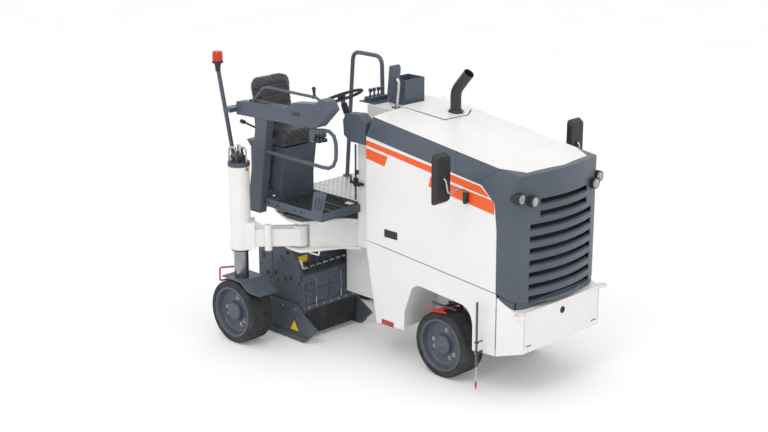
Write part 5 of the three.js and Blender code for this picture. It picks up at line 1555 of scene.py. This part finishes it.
@dataclass
class Station:
    """Operator's place: floors, pedestal, seat, console, steering, controls and rails."""

    floor: float = 1300.0
    wheel_centre: Point = (-1245.0, -500.0, 2240.0)
    wheel_lean: float = 26.0
    ring_radius: float = 185.0
    hoop_x: Pair = (-1842.0, -1352.0)
    hoop_y: float = 132.0
    beacon: Point = (-2200.0, -1093.0, 2450.0)
    body: str = "chassis"

    def build(self) -> None:
        """Makes the operator's place."""
        panels = (("floor_plate", PLATE, 1.2), ("footwell", SLATE, 2.0), ("seat_pedestal", SLATE, 4.0),
                  ("lever_ledge", SLATE, 1.5), ("storage_tray", SLATE, 1.5), ("right_console", SLATE, 4.0),
                  ("console_post", SLATE, 3.0), ("steering_stand", SLATE, 4.0))
        for node, finish, edge in panels:
            refined(node, finish, self.body, edge)
        refined("seat_base", SLATE, "seat", 3.0)
        self.treads()
        self.rails()
        self.wheel()
        self.levers()
        self.fittings()
        self.screen()
        self.mast()
        Cushion("seat_cushion").build()
        Cushion("seat_backrest", upright=True).build()

    def treads(self) -> None:
        """Checker bumps on the floor plate and the perforated footwell grid over a sheet of painted shade."""
        lattice("floor_treads", Cell.LOZENGE, TREAD, self.body, (-1864, -424, 0), (-1104, 326, self.floor),
                (58, 58), 12, 20)
        low, high = (-1690, -903, 1270.3), (-1078, -440, 1271.6)
        # Near-black sheet under the grid: painted shade seen through its holes.
        Shape().box(low, high).piece("footwell_shade_sheet", SEAL_AND_SHADE, self.body)
        lattice("footwell_grid", Cell.RING, PLASTIC, self.body, low, (high[0], high[1], 1278), (55.4, 32), 17.4, 12)
        straps = Shape()
        for y in (-748, -596):
            straps.box((low[0], y - 9, 1272), (high[0], y + 9, 1285.5))
        straps.piece("footwell_straps", PLASTIC, self.body, edge=0.8)
        corner = Shape().prism("z", 1284, 1287, [(-1240, -442), (-1148, -442), (-1148, -500), (-1222, -500)])
        corner.piece("footwell_corner_plate", WHITE, self.body, edge=0.8)
        # Slate strip along the floor plate's edge, partly its real edge and partly painted shade under its lip.
        edge_lip_shade = Shape().box((-1864, -434, 1298), (-1076, -424, 1306))
        edge_lip_shade.piece("floor_edge_lip_shade", SLATE, self.body, edge=1.5)
        bracket = Shape().prism("y", -922, -915,
                                [(-1195, 1232), (-1066, 1232), (-1062, 1290), (-998, 1498), (-1010, 1512),
                                 (-1148, 1490), (-1162, 1476), (-1195, 1290)])
        bracket.piece("footwell_bracket", SLATE, self.body, edge=1.5)
        # Dark slanted plates on the bracket face: painted shade in its slots.
        slots = Shape()
        for i in range(3):
            x = -1158 + i * 36
            slots.prism("y", -922.6, -921.6, [(x, 1330), (x + 18, 1330), (x + 48, 1446), (x + 30, 1446)])
        slots.piece("bracket_slot_shade", SEAM_AND_SHADE, self.body)
        heads = [((x, -915.4, 1262), RIGHT) for x in (-1760, -1640, -1420, -1330, -1110)]
        scattered("footwell_bolts", Head.HEX, BLACK, self.body, heads, 8, 5)

    def rails(self) -> None:
        """Entry hoop with its feet."""
        (rear, front), y, z = self.hoop_x, self.hoop_y, self.floor
        route = bend([(rear, y, z + 6), (rear + 92, y, 2494), (front - 28, y, 2494), (front, y, z + 6)], 90, 12)
        hoop = Shape().tube(route, 19, 28)
        for x in self.hoop_x:
            hoop.lathe([(0, 0), (0, 40), (6, 42), (10, 40), (12, 24), (16, 20), (16, 0)], (x, y, z), UP, 36)
        hoop.piece("entry_hoop", SLATE, self.body, "entry_handrail", smooth=50)

    def wheel(self) -> None:
        """Steering wheel: padded ring, three spokes and a boss, square to its leaning column."""
        centre, lean = Vector(self.wheel_centre), math.radians(self.wheel_lean)
        axis = Vector((-math.sin(lean), 0, math.cos(lean)))
        across = Vector((math.cos(lean), 0, math.sin(lean)))
        side = Vector(LEFT)
        rows = []
        for turn in around(72):
            out = across * math.cos(turn) + side * math.sin(turn)
            grip = 13.4 + 0.5 * math.cos(24 * turn)
            rows.append([centre + out * (self.ring_radius + grip * math.cos(roll)) + axis * grip * math.sin(roll)
                         for roll in around(12)])
        ring = Shape().loft(rows, closed=True)
        ring.piece("steering_ring", GRIP, "steering_wheel", "steering_wheel", smooth=70)
        frame_shape = Shape()
        for angle in (90, 210, 330):
            turn = math.radians(angle)
            out = across * math.cos(turn) + side * math.sin(turn)
            flank = axis.cross(out)
            frame_shape.loft([[centre + out * reach + flank * width * u + axis * (thick * v * 0.8 + drop)
                               for u, v in ((-1, -1), (1, -1), (1, 1), (-1, 1))]
                              for reach, width, thick, drop in ((24, 17, 8, -14), (176, 11, 5, 0))])
        frame_shape.lathe([(-26, 0), (-26, 30), (-22, 36), (2, 38), (14, 34), (20, 24), (22, 0)], tuple(centre),
                          tuple(axis), 40)
        frame_shape.piece("steering_spokes", PLASTIC, "steering_wheel", edge=1.6)

    def levers(self) -> None:
        """Hand levers with knobs, buttons and a joystick boot on the ledge and console."""
        stems, knobs, rods = Shape(), Shape(), []
        for i, y in enumerate((-140, -90, -40, 10)):
            lean = (-1) ** i * 7
            stems.rod((-1255, y, 2184), (-1255 + lean, y, 2236), 5, 1, 14)
            rods.append(((-1255, y, 2185.5), UP))
            knobs.lathe([(0, 0), (0, 8), (4, 12), (14, 14), (22, 13), (27, 8), (28, 0)],
                        (-1255 + lean, y, 2229), UP, 24)
        stems.piece("lever_stems", STEEL, self.body, smooth=40)
        knobs.piece("lever_knobs", GRIP, self.body, smooth=50)
        scattered("lever_boots", Head.STUD, SEAL_AND_SHADE, self.body, rods, 15, 8)
        grips = Shape()
        grips.lathe([(0, 0), (0, 22), (8, 24), (16, 16), (40, 11), (60, 13), (84, 17), (96, 13), (100, 0)],
                    (-1140, -914, 2306), (-0.1, 0, 1), 28)
        grips.piece("console_joystick", GRIP, self.body, smooth=50)
        switches = [((-1120 - 20 * i, -934 + 36 * (i % 2), 2262 - 8.6 * i), (-0.4, 0, 1)) for i in range(5)]
        scattered("console_switches", Head.STUD, PLASTIC, self.body, switches, 9, 8)
        # Near-black plate on the console side: painted shade of a pocket.
        pocket_shade = Shape()
        pocket_shade.prism("y", -970.2, -968.8, [(-1365, 2130), (-1275, 2142), (-1262, 2158), (-1275, 2172), (-1365, 2160),
                                           (-1378, 2146)])
        pocket_shade.piece("console_pocket_shade", SEAM_AND_SHADE, self.body)
        pad = Shape().box((-1960, -952, 2150), (-1740, -876, 2182))
        pad.piece("console_armrest", COVER, self.body, edge=12.0, segments=4)

    def fittings(self) -> None:
        """Lever cluster under the console, steering boot, tower latch and the seat's rear knob."""
        bracket = Shape().prism("y", -938, -904,
                                [(-1189, 2034), (-1012, 2058), (-1006, 1996), (-1092, 1944), (-1189, 1938)])
        bracket.piece("lever_bracket", SLATE, self.body, edge=2.0)
        cluster = Shape().rod((-1120, -944, 1960), (-968, -944, 1978), 17, 3)
        for x in (-1096, -1050, -1006):
            z = 1962 + (x + 1120) * 0.118
            cluster.lathe([(-9, 0), (-9, 24), (9, 24), (9, 0)], (x, -944, z), (1, 0, 0.118), 8)
            cluster.rod((x, -944, z + 16), (x + 8, -958, z + 46), 7, 1, 14)
        cluster.box((-1112, -940, 1932), (-1064, -906, 1960))
        cluster.piece("console_levers", PLASTIC, self.body, edge=1.5)
        lean = math.radians(self.wheel_lean)
        way = Vector((math.sin(lean), 0, -math.cos(lean)))
        top = Vector(self.wheel_centre) + way * 40
        boot = [(0, 24)] + [(8 + 9 * i, 31 if i % 2 == 0 else 26) for i in range(9)] + [(88, 24), (88, 22.5),
                                                                                        (0, 22.5)]
        Shape().lathe(boot, tuple(top + way * 20), tuple(way), 32).piece("steering_boot", SEAL_AND_SHADE, self.body, smooth=30)
        collar = Shape().lathe([(0, 22.5), (0, 29), (26, 29), (28, 26), (28, 22.5)], tuple(top + way * 116),
                               tuple(way), 32)
        collar.piece("steering_collar", STEEL, self.body, smooth=30)
        post = Shape().rod((-1112, -464, 1330), (-1112, -464, 1834), 9, 2)
        post.piece("tower_rod", SLATE, self.body, smooth=40)
        latch = Shape()
        for low, high in (((-1168, -486, 1478), (-1012, -460, 1500)), ((-1124, -482, 1456), (-1094, -450, 1532)),
                          ((-1110, -480, 1566), (-1086, -450, 1604))):
            latch.box(low, high)
        latch.rod((-1160, -476, 1500), (-1160, -476, 1540), 9, 1)
        latch.rod((-1030, -484, 1489), (-1030, -512, 1489), 13, 2)
        latch.piece("tower_latch", PLASTIC, self.body, edge=2.0)
        knob = Shape().rod((-2020, -790, 1872), (-2172, -836, 1922), 9, 1)
        knob.rod((-2160, -832, 1918), (-2206, -846, 1930), 18, 5)
        knob.piece("seat_side_knob", PLASTIC, "seat", smooth=40)
        hinge = [((x, -806.3, z), RIGHT) for x, z in ((-2080, 1340), (-1760, 1340), (-2090, 1720), (-1790, 1720))]
        hinge += [((-1699.7, y, z), AHEAD) for y in (-780, -450) for z in (1340, 1560, 1730)]
        scattered("pedestal_bolts", Head.HEX, BLACK, self.body, hinge, 6, 4)
        strip = Shape().prism("y", -808.4, -805, [(-1905, 1386), (-1860, 1390), (-1806, 1668), (-1862, 1660)])
        strip.piece("pedestal_strip", SEAM_AND_SHADE, self.body, edge=1.0)
        marks = Shape()
        for i in range(7):
            x, z = -1878 + 8 * i, 1410 + 35 * i
            marks.prism("y", -810, -807.6, [(x - 6, z), (x + 6, z + 1), (x + 11, z + 22), (x - 1, z + 21)])
        marks.piece("pedestal_slots", BLACK, self.body, edge=0.5)
        loop = Shape().tube(bend([(-1450, -705, 868), (-1424, -748, 838), (-1288, -752, 842), (-1283, -752, 884)], 26,
                                 6), 7, 16)
        loop.piece("deck_handle", WHITE, self.body, smooth=60)
        catch = Shape().box((-1668, -744, 1137), (-1532, -714, 1147))
        catch.rod((-1650, -729, 1153), (-1550, -729, 1153), 9, 2)
        catch.piece("deck_catch", BLACK, self.body, edge=2.0)

    def screen(self) -> None:
        """Display housing with its dark glass, buttons and stalk."""
        refined("display", SLATE, self.body, 3.0, zone=(STEEL, (-902, -250, 2100), (-860, -100, 2520)))
        lower, upper = Vector((-984.5, 0, 2262)), Vector((-957.0, 0, 2494))
        run = (upper - lower).normalized()
        out = Vector((-run.z, 0, run.x))
        section = ((-1.0, -198), (-1.0, -117), (0.8, -117), (0.8, -198))
        glass = Shape().loft([[lower + run * reach + out * proud + Vector((0, y, 0)) for proud, y in section]
                              for reach in (34, 214)])
        glass.piece("display_face", DISPLAY, self.body)

    def mast(self) -> None:
        """Leaning mast with the beacon on its foot."""
        spot, x = self.beacon, self.beacon[0]
        foot = (x, -932, 1560)
        pole = Shape().tube([Vector(foot), Vector(spot)], 19, 28).rod(foot, (x, -900, 1560), 16)
        pole.piece("beacon_pole", SLATE, self.body, "beacon_mast", smooth=50)
        base = Shape().lathe([(-30, 0), (-30, 22), (10, 24), (38, 32), (44, 49.5), (58, 49.5), (61, 46), (61, 0)],
                             spot, UP)
        base.piece("beacon_base", PLASTIC, self.body, smooth=35)
        rings = [(61, 0), (61, 43)]
        for i in range(4):
            rings += [(65 + 18 * i, 46.5), (74 + 18 * i, 46.5), (77 + 18 * i, 43.5), (80 + 18 * i, 43.5)]
        dome = Shape().lathe([*rings, (138, 46), (145, 42), (148.5, 32), (149.5, 0)], spot, UP)
        dome.piece("beacon_dome_lens", BEACON, self.body, smooth=40)
        stay = Shape().box((-2212, -1040, 2046), (-2116, -880, 2086))
        stay.piece("mast_stay", SLATE, self.body, edge=3.0)
        grip = Shape().rod((-2200, -932, 1500), (-2200, -932, 1580), 24, 3)
        grip.box((-2214, -934, 1520), (-2186, -880, 1560))
        grip.piece("mast_clamp", BLACK, self.body, edge=1.5)


@dataclass
class Cushion:
    """Upholstered pad inflated from a block, with sewn channels."""

    node: str
    upright: bool = False
    voxel: float = 6.0
    pressure: float = 4.0
    cap: float = 24.0
    steps: int = 20
    shrink: float = 5.0
    lean: float = 8.0
    back_thickness: float = 0.074
    back_corner: float = 0.085
    seat_corner: float = 0.06
    channels: tuple[float, ...] = (-0.3, -0.1, 0.1, 0.3)

    def build(self) -> None:
        """Makes the pad."""
        low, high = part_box(self.node)
        piece = link(self.node + "_pad", self.block(low, high))
        self.inflate(piece)
        self.channel(piece, low, high)
        soft = piece.modifiers.new("soft", "SUBSURF")
        soft.levels = soft.render_levels = 1
        finish_piece(piece, COVER, "seat", self.node)
        log.info("pad %s", self.node)

    def block(self, low: Vector, high: Vector) -> bpy.types.Mesh:
        """Rounded starting block inside the CAD pad."""
        mesh = bpy.data.meshes.new(self.node + "_pad")
        work = bmesh.new()
        bmesh.ops.create_cube(work, size=1.0)
        bmesh.ops.subdivide_edges(work, edges=work.edges[:], cuts=9, use_grid_fill=True)
        place = self.back_spot if self.upright else self.seat_spot
        for vert in work.verts:
            vert.co = (low + high) / 2 + place(vert.co.copy(), high - low)
        bmesh.ops.smooth_vert(work, verts=work.verts[:], factor=0.5, use_axis_x=True, use_axis_y=True,
                              use_axis_z=True)
        bmesh.ops.recalc_face_normals(work, faces=work.faces[:])
        work.to_mesh(mesh)
        work.free()
        mesh.shade_smooth()
        return mesh

    def back_spot(self, share: Vector, size: Vector) -> Vector:
        """Place of a point of the block in the leaning, hollowed back.

        Args:
            share: the point in a block of unit size.
            size: size of the CAD pad.

        Returns:
            Its place from the pad's middle.
        """
        inset = self.shrink * MM
        wide, tall = size.y - 2 * inset, size.z - 2 * inset
        taper = 1 - 0.08 * max(0.0, share.z) ** 1.5
        lean = math.radians(self.lean)
        up = share.z * tall
        across = share.y * wide * taper
        across, up = self.turned(across, up, wide * taper, tall, self.back_corner)
        curve = -0.03 * (share.y * 2) ** 2 * 0.5
        depth = share.x * self.back_thickness - curve
        return Vector((depth * math.cos(lean) - up * math.sin(lean), across,
                       up * math.cos(lean) + depth * math.sin(lean)))

    def seat_spot(self, share: Vector, size: Vector) -> Vector:
        """Place of a point of the block in the crowned seat with raised sides.

        Args:
            share: the point in a block of unit size.
            size: size of the CAD pad.

        Returns:
            Its place from the pad's middle.
        """
        inset = self.shrink * MM
        deep, wide, thick = size.x - 2 * inset, size.y - 2 * inset, size.z - 1.6 * inset
        pull = 1 - 0.05 * (abs(share.x) * 2) ** 4
        crown = 0.012 * (1 - (2 * share.x) ** 2) * (1 - (2 * share.y) ** 2)
        bolster = 0.016 * max(0.0, abs(share.y) * 2 - 0.62)
        lift = (crown + bolster) if share.z > 0 else 0.0
        along, across = self.turned(share.x * deep, share.y * wide * pull, deep, wide, self.seat_corner)
        return Vector((along, across, share.z * thick * 0.86 + lift))

    def turned(self, first: float, second: float, width: float, height: float, radius: float) -> Pair:
        """Rounds the corners of an outline.

        Args:
            first: place across the outline.
            second: place along it.
            width: full size of the outline across.
            height: full size along.
            radius: radius of its corners.

        Returns:
            The place moved into the rounded outline.
        """
        over = (abs(first) - (width / 2 - radius), abs(second) - (height / 2 - radius))
        if min(over) <= 0:
            return first, second
        scale = max(over) / math.hypot(*over)
        return (math.copysign(width / 2 - radius + over[0] * scale, first),
                math.copysign(height / 2 - radius + over[1] * scale, second))

    def inflate(self, piece: Piece) -> None:
        """Remeshes the block and lets air pressure fill it."""
        remesh = piece.modifiers.new("even", "REMESH")
        remesh.mode = "VOXEL"
        remesh.voxel_size = self.voxel * MM
        self.apply(piece)
        piece.data.shade_smooth()
        before = [v.co.copy() for v in piece.data.vertices]
        cloth = piece.modifiers.new("air", "CLOTH")
        settings = cloth.settings
        settings.quality = 6
        settings.use_pressure = True
        settings.uniform_pressure_force = self.pressure
        settings.tension_stiffness = settings.compression_stiffness = 18
        settings.bending_stiffness = 8.0
        settings.effector_weights.gravity = 0.0
        cloth.point_cache.frame_start, cloth.point_cache.frame_end = 1, self.steps
        scene = bpy.context.scene
        for step in range(1, self.steps + 1):
            scene.frame_set(step)
        self.apply(piece)
        scene.frame_set(1)
        for vert, start in zip(piece.data.vertices, before):
            move = vert.co - start
            if move.length > self.cap * MM:
                vert.co = start + move.normalized() * self.cap * MM
        piece.data.shade_smooth()

    def apply(self, piece: Piece) -> None:
        """Turns the piece's modifiers into its mesh."""
        graph = bpy.context.evaluated_depsgraph_get()
        mesh = bpy.data.meshes.new_from_object(piece.evaluated_get(graph))
        piece.modifiers.clear()
        piece.data = mesh

    def channel(self, piece: Piece, low: Vector, high: Vector) -> None:
        """Presses the sewn channels in and keeps the pad inside its box.

        Args:
            piece: the pad.
            low: lowest corner of its box.
            high: highest corner.
        """
        middle, size = (low + high) / 2, high - low
        for vert in piece.data.vertices:
            share = Vector(((vert.co[i] - middle[i]) / size[i] for i in range(3)))
            along = share.z if self.upright else share.x
            groove = max((math.exp(-((along - c) * 56) ** 2) for c in self.channels), default=0.0)
            inside = max(0.0, min(1.0, (0.4 - abs(share.y)) * 14))
            facing = vert.normal.x if self.upright else vert.normal.z
            if abs(facing) > 0.5:
                vert.co -= vert.normal * groove * inside * 0.006
            welt = math.exp(-((abs(share.y) - 0.4) * 60) ** 2) if abs(facing) > 0.4 else 0.0
            vert.co -= vert.normal * welt * 0.005
            for axis in range(3):
                vert.co[axis] = min(max(vert.co[axis], low[axis] - 0.004), high[axis] + 0.008)


@dataclass
class Running:
    """Wheels and front steering."""

    def build(self) -> None:
        """Makes the four wheels and the knuckles."""
        for corner, centre, outward in (("front_right", (0, -435, 290), -1), ("front_left", (0, 435, 290), 1),
                                        ("rear_right", (-1880, -1157, 290), -1), ("rear_left", (-1880, 465, 290), 1)):
            Wheel(corner, centre, outward).build()
        for name in ("right", "left"):
            refined("knuckle_" + name, IRON, "knuckle_" + name, 2.5)
        self.pointer()
        self.guard()

    def pointer(self) -> None:
        """Red steering pointer over the right front wheel and its holder."""
        body = "knuckle_right"
        outline = [(-125, -607), (-30, -622), (95, -585), (62, -566), (22, -558), (22, -296), (-30, -296),
                   (-30, -552), (-62, -572)]
        Shape().prism("z", 606, 612, outline).piece("steer_pointer", RED, body, edge=1.2)
        holder = Shape().rod((-4, -296, 470), (-4, -296, 608), 11, 2)
        holder.rod((-60, -340, 634), (52, -340, 640), 15, 3).rod((-48, -400, 630), (40, -400, 634), 12, 3)
        holder.box((-26, -352, 610), (18, -328, 640)).box((-24, -410, 610), (16, -390, 632))
        holder.piece("pointer_holder", BLACK, body, edge=2.0)

    def guard(self) -> None:
        """Red bent bar behind the right rear wheel."""
        route = bend([(-2052, -1100, 640), (-2074, -1244, 660), (-2074, -1248, 536), (-2052, -1120, 534)], 22, 6)
        Shape().tube(route, 8, 18).piece("carrier_guard", RED, "leg_right", smooth=60)


# ---------------------------------------------------------------- set


@dataclass
class Studio:
    """Floor, light and camera: angles in degrees, lamps in metres and watts, the eye in station millimetres."""

    azimuth: float = 44.818
    pitch: float = 16.596
    lens: float = 70.63
    eye: Point = (8067.2, -9348.9, 4988.0)
    reach: float = 60.0
    floor_glow: float = 0.12
    daylight: float = 0.92
    lamps: tuple[tuple[str, Point, float], ...] = (("key", (2.5, -7.0, 9.5), 200), ("fill", (8.5, 1.0, 6.5), 40))
    lamp_size: float = 5.0
    lamp_aim: float = 0.9

    def build(self) -> None:
        """Sets floor, light and camera."""
        self.floor()
        self.light()
        self.camera()

    def floor(self) -> None:
        """Pale floor that keeps the shadow."""
        shader = Shader("pale_floor")
        tone = shader.mix(shader.varied(0.7, 3, (0, 1)), (0.93, 0.93, 0.93), (0.95, 0.95, 0.95))
        shader.set(Base_Color=tone, Roughness=0.9, Specular_IOR_Level=0.1)
        path = shader.node("ShaderNodeLightPath")
        shader.set(Emission_Color=(1, 1, 1, 1),
                   Emission_Strength=shader.product(path.outputs["Is Camera Ray"], self.floor_glow))
        mesh = bpy.data.meshes.new("floor")
        corners = [(x * self.reach, y * self.reach, -0.0005) for x, y in ((-1, -1), (1, -1), (1, 1), (-1, 1))]
        mesh.from_pydata(corners, [], [(0, 1, 2, 3)])
        mesh.materials.append(shader.material)
        link("floor", mesh)

    def light(self) -> None:
        """White surroundings and one large soft lamp."""
        world = bpy.data.worlds.new("surroundings")
        world.use_nodes = True
        bpy.context.scene.world = world
        sky = Wiring(world.node_tree)
        background = sky.tree.nodes["Background"]
        background.inputs["Color"].default_value = (1, 1, 1, 1)
        path = sky.node("ShaderNodeLightPath").outputs
        shine = sky.math("MAXIMUM", path["Is Glossy Ray"], path["Is Transmission Ray"])
        seen = sky.math("MAXIMUM", path["Is Camera Ray"], shine)
        strength = sky.node("ShaderNodeMapRange", Value=seen, To_Min=self.daylight, To_Max=1.0)
        sky.feed(background.inputs["Strength"], strength.outputs[0])
        for name, spot, power in self.lamps:
            lamp = bpy.data.lights.new(name, "AREA")
            lamp.shape, lamp.size, lamp.energy = "DISK", self.lamp_size, power
            holder = bpy.data.objects.new(name, lamp)
            bpy.context.scene.collection.objects.link(holder)
            holder.location = spot
            aim = Vector((0, 0, self.lamp_aim)) - Vector(spot)
            holder.rotation_euler = aim.to_track_quat("-Z", "Y").to_euler()
        bpy.context.scene.view_settings.view_transform = "Standard"

    def camera(self) -> None:
        """Camera at the fitted viewing angle."""
        data = bpy.data.cameras.new("view")
        data.lens, data.sensor_width = self.lens, 36.0
        data.clip_start, data.clip_end = 0.5, 300.0
        camera = bpy.data.objects.new("view", data)
        bpy.context.scene.collection.objects.link(camera)
        turn, dip = math.radians(self.azimuth), math.radians(self.pitch)
        back = Vector((math.sin(turn) * math.cos(dip), -math.cos(turn) * math.cos(dip), math.sin(dip)))
        camera.location = at(*self.eye)
        camera.rotation_mode = "QUATERNION"
        camera.rotation_quaternion = (-back).to_track_quat("-Z", "Y")
        bpy.context.scene.camera = camera


def main() -> None:
    """Builds the set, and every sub-assembly in order."""
    logging.basicConfig(level=logging.INFO, format="%(name)s: %(message)s")
    Studio().build()
    for assembly in (Running(), Hood(), Chassis(), Legs(), MillingUnit(), Station()):
        assembly.build()
    bpy.context.view_layer.update()


if __name__ == "__main__":
    main()
